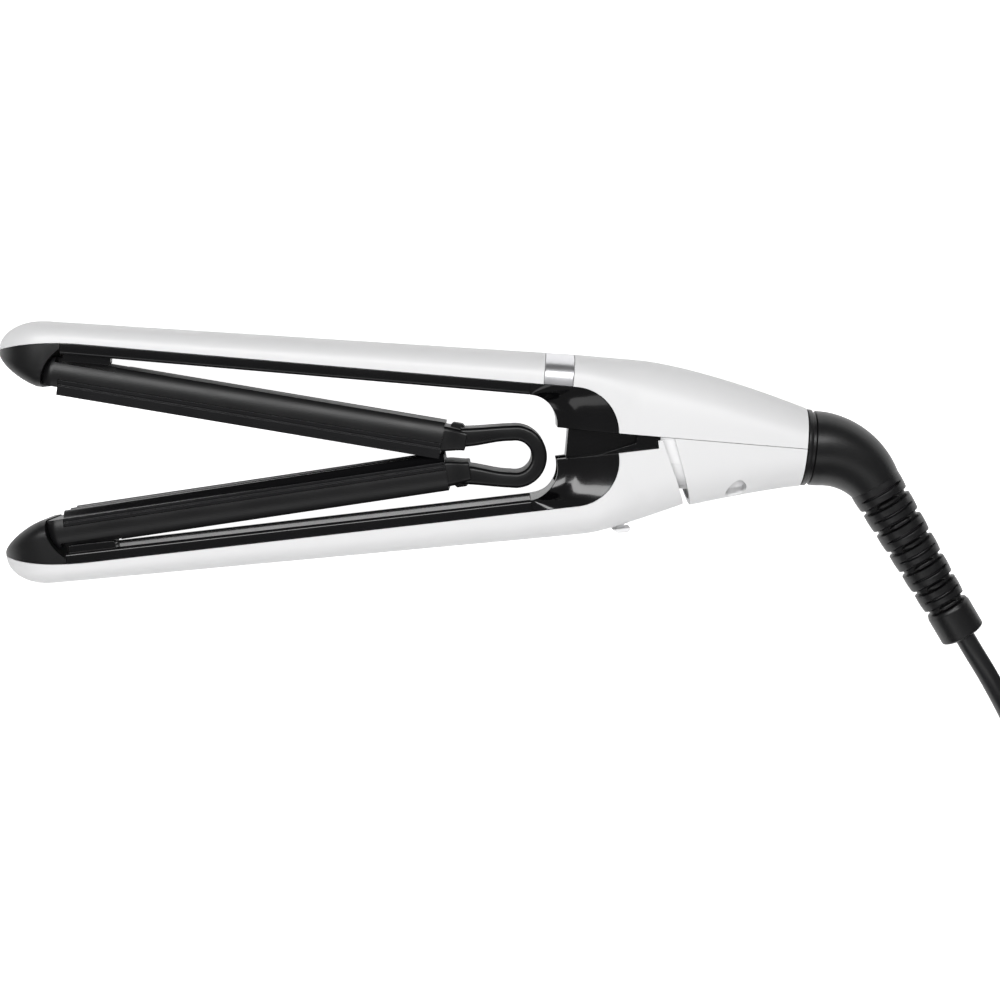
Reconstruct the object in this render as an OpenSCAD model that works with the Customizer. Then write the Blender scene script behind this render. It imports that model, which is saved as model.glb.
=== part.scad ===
// Hair crimper: two hinged arms, two crimp plates in floating bars, and a swivelling cord boot.
// It lies on its side: X runs along the tool, Y is the way it opens, Z is its width, in millimetres.

/* [Arms] */
// Pivot axis to the tip of the nose
arm_l = 196.5; // [180:0.5:215]
// Width of the arms at the hinge
arm_w = 32; // [28:0.5:36]
// Width of the arms at the nose
nose_w = 29; // [25:0.5:32]
// Angle of each arm from the closed line when it is open
half_open = 5.75; // [4.5:0.25:6.5]
// Height of the outer shell above the closed line, at the nose
shell_front_h = 20.8; // [19:0.2:22]
// Height of the outer shell above the closed line, at the hinge
shell_rear_h = 24.3; // [23:0.1:26]
// Height of the parting line of shell and liner
parting_h = 15; // [14:0.2:16]
// Height of the liner's inner face
liner_h = 11.6; // [11.2:0.1:12.2]
// Height of the lower arm's rear edge above the closed line
edge_h = 0.9; // [0.6:0.1:1.5]
// Pivot axis to the rear end of the lower arm
rear_x = 2.2; // [1:0.1:5]
// How far the lower arm's rear end leans back
rear_lean = 4.3; // [2:0.5:6]
// Wall of the outer shells
shell_wall = 2; // [1.4:0.1:2.4]
// Wall of the liners
liner_wall = 1.8; // [1.2:0.1:2.2]
// Length of the rounded end of the arms
round_l = 14; // [10:1:18]
// Height of the tip of the nose above the closed line
tip_h = 10.8; // [9:0.2:12]
// Gap between the two closed noses, from the closed line
nose_gap = 1.4; // [1:0.1:3]
// Length of the nose, from its tip to its seam
nose_l = 20.5; // [18:0.5:24]

/* [Hinge] */
// Radius of the outer bend of the liner at the hinge
bend_outer_r = 13.4; // [12:0.2:15]
// Radius of the inner bend of the liner
bend_inner_r = 9; // [7:0.2:10]
// Width of the liner's bend, from its inner to its outer edge
bend_web = 18; // [16:0.5:20]
// Pivot axis to the centre of the outer bend
bend_x = 24.8; // [22:0.2:27]
// Radius of the hinge pin
pin_r = 2.5; // [2:0.1:3]
// Radius of the bosses around the hinge pin
boss_r = 6; // [5:0.1:6.5]
// Running clearance of the hinge pin
pin_clear = 0.05; // [0.02:0.01:0.1]
// Half width of the hinge block
block_z = 7; // [6:0.5:8]
// Thickness of the arm spring's wire
spring_d = 1.2; // [0.8:0.1:1.3]

/* [Tail] */
// Pivot axis to the end of the tail
tail_l = 44.4; // [42:0.1:52]
// Diameter of the end of the tail
tail_d = 23.5; // [20:0.1:24]
// Height of the tail's axis above the closed line
tail_h = 2.6; // [2:0.1:5]
// Depth of the tail cover below the tail's axis, at its front
cover_drop = 20.1; // [17:0.1:22]
// Radius of the wells of the tail screws
well_r = 3; // [2.6:0.1:3.2]
// Pivot axis to the tail screws
well_x = 25; // [22:0.5:30]
// Distance of the tail screws from the middle
well_z = 8; // [6:0.5:8.5]
// Radius of the hole in the socket where the cord boot turns
socket_r = 6; // [5:0.1:7]
// Length of the bush that the cord boot turns in
bush_l = 8; // [6:0.5:10]
// Width of the circuit board
board_w = 18; // [14:0.5:19]

/* [Trim] */
// Pivot axis to the rear edge of the chrome band
band_x = 26; // [25:0.5:30]
// Length of the chrome band along the arm
band_l = 8.6; // [6:0.2:12]
// Thickness of the chrome band
band_t = 0.6; // [0.4:0.1:1]

/* [Lock] */
// Pivot axis to the middle of the lock slider
lock_x = 12.6; // [9:0.1:15]
// Length of the lock slider's knob
lock_l = 5.6; // [4:0.2:7]
// Width of the lock slider's knob
lock_w = 11; // [8:0.5:14]
// Travel of the lock slider
lock_travel = 4; // [3:0.5:5]

/* [Crimp bars] */
// Distance of the bars' rear ends from the hinge, when they are closed
bar_rear_x = 61.9; // [61:0.1:66]
// Width of the bars
bar_w = 27; // [24:0.5:28]
// Height of the bars, plate included
bar_h = 9.8; // [9:0.1:10.2]
// Height of the bar's front pivot above the face of its plate
bar_pivot_h = 11.4; // [11.2:0.1:11.8]
// Distance of the bars' front pivots from the tips of the noses
bar_pivot_back = 28.2; // [27:0.1:30]
// Radius of the nose's rear edge, around the front of the bar
nose_r = 12.9; // [12.2:0.1:13.6]
// Angle of the upper bar from its arm when the tool is open
upper_tilt = 4.6; // [3.8:0.1:5]
// Angle of the lower bar from its arm when the tool is open
lower_tilt = 1.9; // [1.4:0.1:2.4]
// Radius of the bar pivot pins
bar_pin_r = 1.2; // [1:0.1:1.4]
// Thickness of the crimp plates to the top of their waves
plate_t = 3.6; // [3.2:0.1:4]
// Depth of the crimp waves
wave_h = 2.2; // [1:0.1:2.4]
// Number of the crimp waves across a plate
wave_n = 3; // [3:2:7]
// Length of the heaters
heater_l = 60; // [40:1:80]
// Width of the heaters
heater_w = 14; // [10:0.5:18]
// How far the bars' sides bulge
bar_bulge = 1.5; // [0.5:0.1:2]

/* [Strap] */
// Thickness of the loop strap
strap_t = 4.5; // [3.5:0.1:5]
// Width of the loop strap
strap_w = 22; // [18:0.5:24]
// Length of the sockets at the rear of the bars
socket_l = 7; // [5:0.5:9]
// Gap between the strap's loop and the liner's bend
loop_gap = 0.8; // [0.6:0.1:2]
// Height of the strap's loop, outside
loop_h = 18.5; // [17:0.1:19]
// Height of the sockets above the face of the plates
socket_h = 7.8; // [7:0.1:8.4]

/* [Cord] */
// Diameter of the cord
cord_d = 6; // [5.6:0.1:6.4]
// Straight length of the boot before its bend
elbow_lead = 5; // [4:0.1:8]
// Length of the collar at the boot's swivel
collar_l = 2.6; // [2:0.1:3.4]
// Radius of the boot's bend
elbow_r = 22; // [20:0.5:26]
// Angle of the boot's bend
elbow_turn = 54; // [45:1:65]
// Diameter of the boot at its swivel
boot_d = 22.9; // [19:0.1:23.5]
// Diameter of the ribbed part at its start
rib_start_d = 15.8; // [13.5:0.1:17]
// Diameter of the ribbed part at its end
rib_end_d = 12.9; // [11.5:0.1:14]
// Spacing of the ribs
rib_pitch = 7.2; // [6.5:0.1:8]
// Number of ribs
rib_n = 6; // [4:1:7]
// Depth of the grooves between the ribs
rib_depth = 1.1; // [0.6:0.1:1.4]
// Length of the boot's end cap
cap_l = 10; // [8:0.5:12]
// Number of turns in each layer of the coiled cord
coil_turns = 3.75; // [2.75:1:3.75]
// Radius of the innermost turn of the coil
coil_r = 24.2; // [22:0.1:26]
// Distance between neighbouring turns
coil_pitch = 6.6; // [6.5:0.1:8]
// Width of the strap that ties the coil
tie_w = 12; // [8:1:16]

/* [Plug] */
// Diameter of the plug's pins
plug_pin_d = 4; // [3.8:0.1:4.8]
// Length of the plug's pins
plug_pin_l = 19; // [17:0.5:20]
// Distance between the plug's pins
plug_pin_gap = 18.6; // [17.5:0.1:19]
// Length of the plug's body
plug_l = 35; // [30:0.5:40]
// Width of the plug's face
plug_face_w = 35; // [32:0.5:37]
// Thickness of the plug's body
plug_t = 13.6; // [13:0.1:14]

/* [Hidden] */
$fn = 48;
clear = 0.3;
seat = 0.1;
white = [0.93, 0.93, 0.94];
black = [0.06, 0.06, 0.07];
chrome = [0.8, 0.8, 0.82];
steel = [0.7, 0.7, 0.72];

// Places. The part's origin is under the middle of the arms and tail.
nose_seam_x = arm_l - nose_l;
bar_pivot_x = arm_l - bar_pivot_back;
bar_l = bar_pivot_x - bar_rear_x;
cheek_gap = 1.8;
cheek_z = arm_w / 2 - shell_wall - cheek_gap;
tail_r = tail_d / 2;
nose_x = arm_l * cos(half_open) - tip_h * sin(half_open);
tail_x = tail_l * cos(half_open) + (tail_h + tail_r) * sin(half_open);
pivot = [(nose_x - tail_x) / 2, 0, arm_w / 2];
// Lean of the seam towards the tip of the nose
nose_drop_l = 2 * round_l;
// Where the top of the tail starts to fall towards its end
tail_start = -6;
// Half width of the slot for the spring, and its turns
spring_z = 2.6;
spring_turns = 3;
edge_out_x = rear_x + rear_lean;
lower_fall = 5.3;
lower_fall_x = -22;
cover_front_x = 5;
cover_lean = 7.4;

module at_upper() { translate(pivot) rotate([0, 0, -half_open]) children(); }
module at_lower() { translate(pivot) rotate([0, 0, half_open]) mirror([0, 1, 0]) children(); }
module at_bar(tilt) {
  translate([-bar_pivot_x, bar_pivot_h, 0])
    rotate([0, 0, -tilt])
    translate([bar_pivot_x, -bar_pivot_h, 0]) children();
}
module at_upper_bar() { at_upper() at_bar(upper_tilt) children(); }
module at_lower_bar() { at_lower() at_bar(lower_tilt) children(); }

function lerp(a, b, t) = a + (b - a) * t;
function clamp(v) = max(0, min(1, v));
function circle_rise(t) = sqrt(1 - pow(1 - clamp(t), 2));
function flat(points) = [for (ring = points) each ring];

// Heights and half widths of the arms at a distance x from the pivot
function arm_top(x) = let(
    base = lerp(shell_front_h, shell_rear_h, clamp((x + arm_l - round_l) / (arm_l - 3 * round_l)))
  ) tip_h + (base - tip_h) * circle_rise((x + arm_l) / round_l);
function arm_part(x) = parting_h - (parting_h - tip_h) * pow(clamp(1 - (x + arm_l) / nose_drop_l), 2.2);
function arm_half(x) =
  lerp(nose_w, arm_w, clamp((x + arm_l) / arm_l)) / 2 * circle_rise((x + arm_l) / (1.15 * round_l));
function tail_t(x) = pow(clamp((x - tail_start) / (tail_l - tail_start)), 1.5);
function upper_top(x) = arm_top(x) - (shell_rear_h - tail_h - tail_r) * tail_t(x);
function upper_half(x) = arm_half(min(x, 0)) - (arm_w / 2 - tail_r) * tail_t(x);
function lower_top(x) =
  arm_top(x) - lower_fall * pow(clamp((x - lower_fall_x) / (edge_out_x - lower_fall_x)), 1.3);

// A station is [outer point, parting point, half width, squareness]. Its ring is a bow from side to
// side over the outer point, then back along the inside of the wall. With no wall it is solid.
bow = [for (a = [0:15:180]) a];
function bow_point(s, a, inset) = let(
    rise = norm(s[0] - s[1]),
    top = s[0] + (s[1] - s[0]) / rise * min(inset, 0.6 * rise),
    half = s[2] - min(inset, 0.6 * s[2]),
    side = sign(cos(a)) * pow(abs(cos(a)), s[3]),
    foot = lerp(s[1], top, pow(sin(a), s[3]))
  ) [foot.x, foot.y, side * half];
function bow_ring(s, wall, skin) = concat(
    [for (a = bow) bow_point(s, a, skin)],
    [for (i = [len(bow) - 1:-1:0]) if (wall > 0) bow_point(s, bow[i], skin + wall)]
  );

module bow_loft(stations, wall, skin = 0, turned = false) {
  n = len(bow);
  k = wall > 0 ? 2 * n : n;
  last = len(stations) - 1;
  sides = [for (i = [0:last - 1]) for (j = [0:k - 1]) [
      i * k + j, (i + 1) * k + j, (i + 1) * k + (j + 1) % k, i * k + (j + 1) % k
    ]];
  front = wall > 0 ? [for (j = [0:n - 2]) [j, j + 1, k - 2 - j, k - 1 - j]] : [[for (j = [0:k - 1]) j]];
  back = [for (f = front) [for (i = [len(f) - 1:-1:0]) f[i] + last * k]];
  faces = concat(sides, front, back);
  polyhedron(
    points = flat([for (s = stations) bow_ring(s, wall, skin)]),
    faces = turned ? faces : [for (f = faces) [for (i = [len(f) - 1:-1:0]) f[i]]],
    convexity = 6
  );
}

// Stations along an arm, from the tip to the bend
tip_steps = [0.3, 1.2, 2.8, 5, 8, 11.5, 16];
arm_step = 18;
first_step = 30;
last_step = 50;
arm_steps = concat([for (d = tip_steps) d - arm_l], [for (x = [first_step - arm_l:arm_step:-last_step]) x]);
bend_y = parting_h - bend_outer_r;
function arm_station(x, top, half, groove) = [[x, top - groove], [x, arm_part(x)], half - groove, 0.7];
function bend_at(a) = [bend_outer_r * cos(a) - bend_x, bend_y + bend_outer_r * sin(a)];

upper_end_a = asin((tail_h - bend_y) / bend_outer_r);
lower_end_a = asin((edge_h - bend_y) / bend_outer_r);
bend_steps = 7;
tail_steps = 6;
bend_out_x = -4;
band_xs = [-band_x - band_l, -band_x];
groove = band_t + seat;

function upper_station(x, q, square, dip = 0) = [
    [x, upper_top(x) - dip], [q.x, q.y + seat / 2], upper_half(max(x, q.x)) - dip, square
  ];
upper_stations = concat(
  [for (x = arm_steps) if (x < band_xs[0] - 1) upper_station(x, [x, arm_part(x)], 0.7)],
  [for (x = band_xs) for (side = [0, 1]) let(in = (x == band_xs[0]) == (side == 1),
      at = x + (side == 0 ? -seat / 2 : seat / 2)) upper_station(at, [at, parting_h], 0.7, in ? groove : 0)],
  [for (i = [0:bend_steps]) let(t = i / bend_steps) upper_station(
      lerp(-bend_x, bend_out_x, t), bend_at(lerp(90, upper_end_a, t)), 0.7)],
  [for (i = [1:tail_steps]) let(t = i / tail_steps) upper_station(
      lerp(bend_out_x, tail_l, t), [lerp(bend_at(upper_end_a).x, tail_l, t), tail_h], lerp(0.7, 1, t))]
);
lower_stations = concat(
  [for (x = arm_steps) [[x, lower_top(x)], [x, arm_part(x) + seat / 2], arm_half(x), 0.7]],
  [for (i = [0:bend_steps]) let(
      t = i / bend_steps,
      x = lerp(-bend_x, bend_out_x, t),
      q = bend_at(lerp(90, lower_end_a, t)))
    [[x, lower_top(x)], [q.x, q.y + seat / 2], arm_half(min(x, 0)), 0.7]],
  [for (i = [1:2]) let(t = i / 2, x = lerp(bend_out_x, edge_out_x, t))
    [[x, lower_top(x)], [lerp(bend_at(lower_end_a).x, rear_x, t), edge_h], arm_half(min(x, 0)), 0.7]]
);
cover_stations = [for (i = [0:5]) let(
    t = i / 5,
    q = [lerp(cover_front_x, tail_l, t), tail_h - seat],
    x = lerp(cover_front_x + cover_lean, tail_l, t),
    drop = tail_r + (cover_drop - tail_r) * pow(1 - t, 1.15)
  ) [[x, tail_h - drop], q, upper_half(x), lerp(0.75, 1, t)]];

// Plan of the nose and liners, seen along Y, and the solid that it cuts
module plan_cut(shrink = seat) {
  xs = concat([for (d = tip_steps) d - arm_l], [-round_l * 2, 0, 12]);
  rotate([90, 0, 0]) linear_extrude(4 * arm_w, center = true) polygon(concat(
      [for (x = xs) [x, arm_half(min(x, 0)) - shrink]],
      [for (i = [len(xs) - 1:-1:0]) [xs[i], shrink - arm_half(min(xs[i], 0))]]
    ));
}
module slab(z0, z1) { translate([0, 0, z0]) linear_extrude(z1 - z0) children(); }
module both_sides() { children(); mirror([0, 0, 1]) children(); }

// The nose: a rounded beak under the shell, hollowed around the front of the bar
nose_bed = 2.8;
nose_under_l = 14;
nose_point = 1.5;
function nose_under(a) = [
    lerp(-arm_l, nose_under_l - arm_l, 1 - pow(sin(a), nose_point)),
    lerp(tip_h, nose_gap, pow(cos(a), nose_point))
  ];
module nose_side() {
  seam = [for (d = tip_steps) if (d < nose_l) [d - arm_l, arm_part(d - arm_l)]];
  difference() {
    polygon(concat(
      seam,
      [[-nose_seam_x, arm_part(-nose_seam_x)], [-nose_seam_x, nose_gap]],
      [for (a = [0:10:80]) nose_under(a)]
    ));
    translate([-bar_pivot_x, nose_bed]) circle(nose_r, $fn = 64);
    translate([-bar_pivot_x - nose_r, 0]) square([2 * nose_r, nose_bed]);
  }
}
module nose() { intersection() { slab(-arm_w, arm_w) nose_side(); plan_cut(); } }

// The liner: a tray along the arm that ends in the bend round the hinge
lug_x = 7;
lug_room = 1.9;
lug_z = [9.3, 12.6];
lug_foot = 2;
pin_cover = 1.1;
ear_room = 6.2;
module bar_pin_hole() {
  translate([-bar_pivot_x, bar_pivot_h, 0])
    cylinder(r = bar_pin_r + seat / 2, h = 2 * (lug_z[1] - pin_cover), center = true);
}
module liner_strip() {
  translate([-nose_seam_x + seat, liner_h]) square([nose_seam_x - seat - bend_x, parting_h - liner_h]);
}
module liner_bend(end_y) {
  inner_x = bend_outer_r - bend_x - bend_web - bend_inner_r;
  inner_y = liner_h - bend_inner_r;
  difference() {
    union() {
      translate([-bend_x, bend_y]) circle(bend_outer_r, $fn = 96);
      translate([inner_x, end_y]) square([-bend_x - inner_x, parting_h - end_y]);
    }
    translate([inner_x, inner_y]) circle(bend_inner_r, $fn = 96);
    translate([inner_x - arm_w, inner_y - arm_w]) square([arm_w + bend_inner_r, arm_w]);
    translate([inner_x - arm_w, liner_h - arm_w]) square([arm_w, arm_w]);
    translate([inner_x - arm_w, end_y - arm_w]) square([3 * arm_w, arm_w]);
  }
}
module liner(end_y, pocket_y) {
  difference() {
    intersection() {
      union() {
        slab(-arm_w, arm_w) {
          liner_strip();
          liner_bend(end_y);
        }
      }
      plan_cut();
    }
    slab(-nose_w / 2 + 3, nose_w / 2 - 3) translate([3 - nose_seam_x, liner_h + liner_wall])
      square([nose_seam_x - 45, parting_h]);
    slab(-block_z - clear, block_z + clear) translate([-arm_w, -arm_w]) square([2 * arm_w, arm_w + pocket_y]);
    slab(-lug_z[0] + clear, lug_z[0] - clear) translate([-bar_pivot_x - ear_room, liner_h - 1])
      square([2 * ear_room, bar_h]);
    bar_pin_hole();
  }
  both_sides() difference() {
    slab(lug_z[0], lug_z[1]) translate([-bar_pivot_x - lug_x, liner_h - lug_foot])
      square([2 * lug_x, lug_foot + liner_wall]);
    bar_pin_hole();
  }
}

// Hinge: a block on the upper arm between two cheeks of the lower arm, turning on one pin
block_reach = 26;
block_foot = 6.2;
module block_side() {
  polygon([
    [-block_reach, tail_h - seat], [-block_reach, -block_foot], [-boss_r, -boss_r * 0.75],
    [0, 0], [boss_r, 0], [boss_r, tail_h - seat]
  ]);
  circle(boss_r);
}
module cheek_side() {
  circle(boss_r);
  cheek_x = bend_outer_r - bend_x - boss_r;
  polygon([[-boss_r * 0.9, 0], [cheek_x, edge_h], [cheek_x, 1.5 * boss_r], [0, boss_r]]);
}
module pin_hole(r, reach = arm_w) { cylinder(r = r, h = 2 * reach, center = true); }

module at_screws() {
  both_sides() translate([well_x, 0, well_z]) rotate([-90, 0, 0]) children();
}
module upper_shell() {
  color(white) at_upper() difference() {
    union() {
      bow_loft(upper_stations, shell_wall);
      intersection() {
        bow_loft(upper_stations, 0);
        at_screws() translate([0, 0, tail_h + seat]) cylinder(r = screw_boss_r, h = arm_w, $fn = 32);
      }
    }
    at_screws() translate([0, 0, -arm_w])
      cylinder(r = screw_r + pin_clear, h = arm_w + screw_end + seat, $fn = 32);
  }
}
module upper_nose() { color(black) at_upper() nose(); }
module upper_liner() { color(black) at_upper() liner(tail_h, -arm_w); }
module trim_band() {
  ends = [band_xs[0] + seat, band_xs[1] - seat];
  color(chrome) at_upper() bow_loft([for (x = ends) upper_station(x, [x, parting_h], 0.7)], band_t);
}
screw_r = 1.3;
screw_head_r = 2.6;
screw_head_h = 2;
screw_seat = -6;
screw_end = 8;
screw_boss_r = 2.6;
front_recess = 0.9;
front_t = 1.4;
front_top = -2;
lip_x = 1;
lip_bottom = -5;
lip_z = [cheek_z + clear, arm_w / 2 - shell_wall - 2 * clear];
// The line of the cover's front edge, shifted towards the tail
module cover_front_strip(from, length) {
  top = [cover_front_x, tail_h - seat];
  foot = [cover_front_x + cover_lean, tail_h - cover_drop];
  translate([from, 0]) polygon([top, foot, foot + [length, 0], top + [length, 0]]);
}
module cover_front() {
  slab(-arm_w, arm_w) intersection() {
    cover_front_strip(front_recess, front_t);
    translate([-arm_w, front_top - arm_w]) square([2 * arm_w, arm_w]);
  }
  both_sides() slab(lip_z[0], arm_w / 2 - seat) intersection() {
    cover_front_strip(front_recess, 2 * front_t);
    translate([0, lip_bottom]) square([arm_w, tail_h - seat - lip_bottom]);
  }
}
module tail_cover() {
  color(white) at_upper() difference() {
    union() {
      bow_loft(cover_stations, shell_wall, turned = true);
      intersection() {
        bow_loft(cover_stations, 0, turned = true);
        union() {
          at_screws() translate([0, 0, -arm_w])
            cylinder(r = well_r + 1.2, h = arm_w + tail_h - 2 * seat, $fn = 32);
          cover_front();
        }
      }
      both_sides() slab(lip_z[0], lip_z[1]) translate([lip_x, lip_bottom])
        square([cover_front_x + cover_lean - lip_x, tail_h - seat - lip_bottom]);
    }
    at_screws() translate([0, 0, -arm_w]) cylinder(r = well_r, h = arm_w + screw_seat, $fn = 32);
    at_screws() translate([0, 0, -arm_w]) cylinder(r = screw_r + seat, h = 2 * arm_w, $fn = 32);
  }
}
module tail_screws() {
  color(steel) at_upper() at_screws() {
    translate([0, 0, screw_seat - screw_head_h]) cylinder(r = screw_head_r, h = screw_head_h);
    translate([0, 0, screw_seat - seat]) cylinder(r = screw_r, h = screw_end - screw_seat);
  }
}
module hinge_block() {
  color(black) at_upper() difference() {
    slab(-block_z, block_z) block_side();
    slab(-spring_z, spring_z) translate([-2 * boss_r, -block_foot - boss_r])
      square([4 * boss_r, 2 * block_foot + boss_r * 2]);
    pin_hole(pin_r + seat / 5);
  }
}
module hinge_pin() { color(steel) at_upper() pin_hole(pin_r, cheek_z - pin_cover - seat); }

// A tube along points, closed at both ends, with its rings square to the way
function way(p, i) = let(a = p[max(i - 1, 0)], b = p[min(i + 1, len(p) - 1)]) (b - a) / norm(b - a);
function tube_ring(p, i, r, sides) = let(
    d = way(p, i),
    u = cross(d, [0, 0, 1]) / norm(cross(d, [0, 0, 1])),
    v = cross(u, d)
  ) [for (j = [0:sides - 1]) p[i] + r * (u * cos(360 * j / sides) + v * sin(360 * j / sides))];
module tube(points, radii, sides) {
  n = len(points);
  rings = [for (i = [0:n - 1]) tube_ring(points, i, radii[min(i, len(radii) - 1)], sides)];
  polyhedron(
    points = flat(rings),
    faces = concat(
      [[for (j = [0:sides - 1]) sides - 1 - j]],
      [for (i = [0:n - 2]) for (j = [0:sides - 1]) let(k = i * sides, next = (j + 1) % sides)
          [k + j, k + next, k + sides + next, k + sides + j]],
      [[for (j = [0:sides - 1]) (n - 1) * sides + j]]
    ),
    convexity = 8
  );
}
spring_r = pin_r + spring_d / 2 + seat;
spring_points = concat(
  [[-boss_r - 4, spring_r, -spring_z + spring_d]],
  [for (i = [0:16 * spring_turns]) let(a = 90 - i * 22.5) [spring_r * cos(a), spring_r * sin(a),
      lerp(-spring_z + spring_d, spring_z - spring_d, i / (16 * spring_turns))]],
  [[boss_r - 1, spring_r, spring_z - spring_d]]
);
module arm_spring() { color(steel) at_upper() tube(spring_points, [spring_d / 2], 6); }
module bar_pin() {
  translate([-bar_pivot_x, bar_pivot_h, 0])
    cylinder(r = bar_pin_r, h = 2 * (lug_z[1] - pin_cover - seat), center = true);
}
module upper_bar_pin() { color(steel) at_upper() bar_pin(); }
module lower_bar_pin() { color(steel) at_lower() bar_pin(); }

board_t = 1.6;
board_y = 3;
board_x = boss_r + 0.5;
board_end_room = 14;
chip = [7, 4, 8];
module circuit_board() {
  color([0.1, 0.35, 0.2]) at_upper() {
    difference() {
      translate([board_x, tail_h + board_y, -board_w / 2])
        cube([tail_l - board_end_room - boss_r, board_t, board_w]);
      at_screws() cylinder(r = screw_boss_r + clear, h = arm_w, $fn = 32);
    }
    translate([board_x + chip.x / 2, tail_h + board_y + board_t, -chip.z / 2]) cube(chip);
  }
}
module along_tail() { translate([tail_l, tail_h, 0]) rotate([0, 90, 0]) children(); }
module swivel_bush() {
  color(black) at_upper() along_tail() translate([0, 0, -bush_l]) difference() {
    cylinder(r = tail_r - shell_wall - seat, h = bush_l - seat);
    translate([0, 0, -1]) cylinder(r = socket_r, h = bush_l + 2);
  }
}

// Lower arm
slot_w = 4;
lock_foot = 1.5;
lock_h = 1.3;
lock_gap = 0.9;
lock_drop = 2.2;
lock_stem = 2.4;
lock_y = lower_top(-lock_x);
ear_x = 0.4;
ear_h = 1.4;
ear_foot = 2.5;
module shell_ears() {
  both_sides() slab(arm_w / 2 - shell_wall + seat / 2, arm_w / 2 - seat / 2) polygon([
      [ear_x, -ear_h], [rear_x - ear_h * rear_lean / shell_rear_h, -ear_h],
      [rear_x + seat, ear_foot], [ear_x, ear_foot]
    ]);
}
module lower_shell() {
  color(white) at_lower() difference() {
    union() {
      bow_loft(lower_stations, shell_wall);
      shell_ears();
    }
    translate([-lock_x - lock_stem / 2 - clear, lock_y - 6, -slot_w / 2])
      cube([lock_stem + lock_travel + 2 * clear, 12, slot_w]);
  }
}
module lower_nose() { color(black) at_lower() nose(); }
module lower_liner() {
  color(black) at_lower() {
    liner(edge_h, block_foot + 1.5);
    both_sides() difference() {
      slab(block_z + clear, cheek_z) cheek_side();
      pin_hole(pin_r + pin_clear, cheek_z - pin_cover);
    }
  }
}
module lock_slider() {
  color(white) at_lower() {
    translate([-lock_x - lock_l / 2, lock_y + lock_gap, -lock_w / 2]) cube([lock_l, lock_h, lock_w]);
    translate([-lock_x - lock_stem / 2, lock_y - shell_wall - lock_drop, -slot_w / 2 + clear])
      cube([lock_stem, shell_wall + lock_drop + lock_gap + seat, slot_w - 2 * clear]);
    translate([-lock_x - lock_l / 2, lock_y - shell_wall - lock_drop - lock_foot, -lock_w / 2])
      cube([lock_l, lock_foot, lock_w]);
  }
}

// Bars: a housing with a crimp plate in its face, on a pin at the front and a socket at the rear.
// Their own frame has the plate's face at y = 0 and the same x as the arm.
bar_end = bar_l - bar_pivot_x;
bar_front_r = nose_r - 1;
bar_wall = 2.2;
plate_gap = 0.15;
plate_front = 7;
chin_h = 1.3;
module bar_side() {
  difference() {
    intersection() {
      translate([-bar_pivot_x - nose_r, chin_h]) square([nose_r + bar_l, bar_h - chin_h]);
      union() {
        translate([-bar_pivot_x, nose_bed]) circle(bar_front_r, $fn = 64);
        translate([-bar_pivot_x, 0]) square([bar_l, bar_h]);
      }
    }
    translate([-bar_pivot_x - plate_front - seat, 0]) square([nose_r + bar_l, plate_t + seat]);
  }
}
bulge_a = 62;
function bar_side_point(a, side) = [
    side * (bar_w / 2 - bar_bulge * (1 - cos(a)) / (1 - cos(bulge_a))),
    bar_h / 2 * (1 + sin(a) / sin(bulge_a))
  ];
module bar_section() {
  polygon(concat(
    [for (a = [-bulge_a:bulge_a / 5:bulge_a]) bar_side_point(a, 1)],
    [for (a = [bulge_a:-bulge_a / 5:-bulge_a]) bar_side_point(a, -1)]
  ));
}
bar_room = 6;
module bar(hole_l) {
  hole_r = bar_pin_r + (hole_l > 0 ? clear : pin_clear);
  ear_r = hole_r + hole_l / 2 + 1.2;
  difference() {
    union() {
      intersection() {
        slab(-bar_w, bar_w) bar_side();
        translate([-bar_pivot_x - nose_r, 0, 0])
          rotate([0, 90, 0]) linear_extrude(nose_r + bar_l) bar_section();
      }
      slab(-lug_z[0] + 2 * clear, lug_z[0] - 2 * clear) {
        translate([-bar_pivot_x, bar_pivot_h]) circle(ear_r);
        translate([-bar_pivot_x - ear_r, bar_h - 2]) square([2 * ear_r, bar_pivot_h - bar_h + 2]);
      }
    }
    both_sides() slab(lug_z[0] - clear, bar_w)
      translate([-bar_pivot_x - lug_x - lug_room, liner_h - lug_foot - lug_room])
      square([2 * (lug_x + lug_room), bar_h]);
    slab(-bar_w / 2 + bar_wall, bar_w / 2 - bar_wall)
      translate([-bar_pivot_x + bar_room, 0]) square([bar_l - 2 * bar_room, bar_h - bar_wall]);
    for (x = hole_l > 0 ? [-hole_l / 2, hole_l / 2] : [0])
      translate([x - bar_pivot_x, bar_pivot_h, 0]) pin_hole(hole_r);
    if (hole_l > 0) slab(-bar_w, bar_w)
      translate([-bar_pivot_x - hole_l / 2, bar_pivot_h - hole_r]) square([hole_l, 2 * hole_r]);
  }
}
function wave(z, way_up) = way_up * wave_h / 2 * cos(360 * wave_n * z / bar_w) + plate_gap;
module plate(way_up) {
  steps = 12 * wave_n;
  face = [for (i = [0:steps]) let(z = bar_w * (i / steps - 0.5)) [z, wave(z, way_up)]];
  translate([-bar_pivot_x - plate_front, 0, 0]) rotate([0, 90, 0])
    linear_extrude(bar_l + plate_front)
    polygon(concat(face, [[bar_w / 2, plate_t], [-bar_w / 2, plate_t]]));
}
heater_t = 2.4;
bar_slot_l = 2.8;
module heater() {
  translate([-bar_pivot_x + (bar_l - heater_l) / 2, plate_t + seat, -heater_w / 2])
    cube([heater_l, heater_t, heater_w]);
}
socket_base = 1.4;
bump = [4.9, 1.8, 8];
module bar_socket() {
  translate([bar_end + seat, socket_base, -strap_w / 2])
    cube([socket_l - seat, socket_h - socket_base, strap_w]);
  translate([bar_end + (socket_l - bump.x) * 0.7, socket_h, -bump.z / 2]) cube(bump);
}
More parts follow.
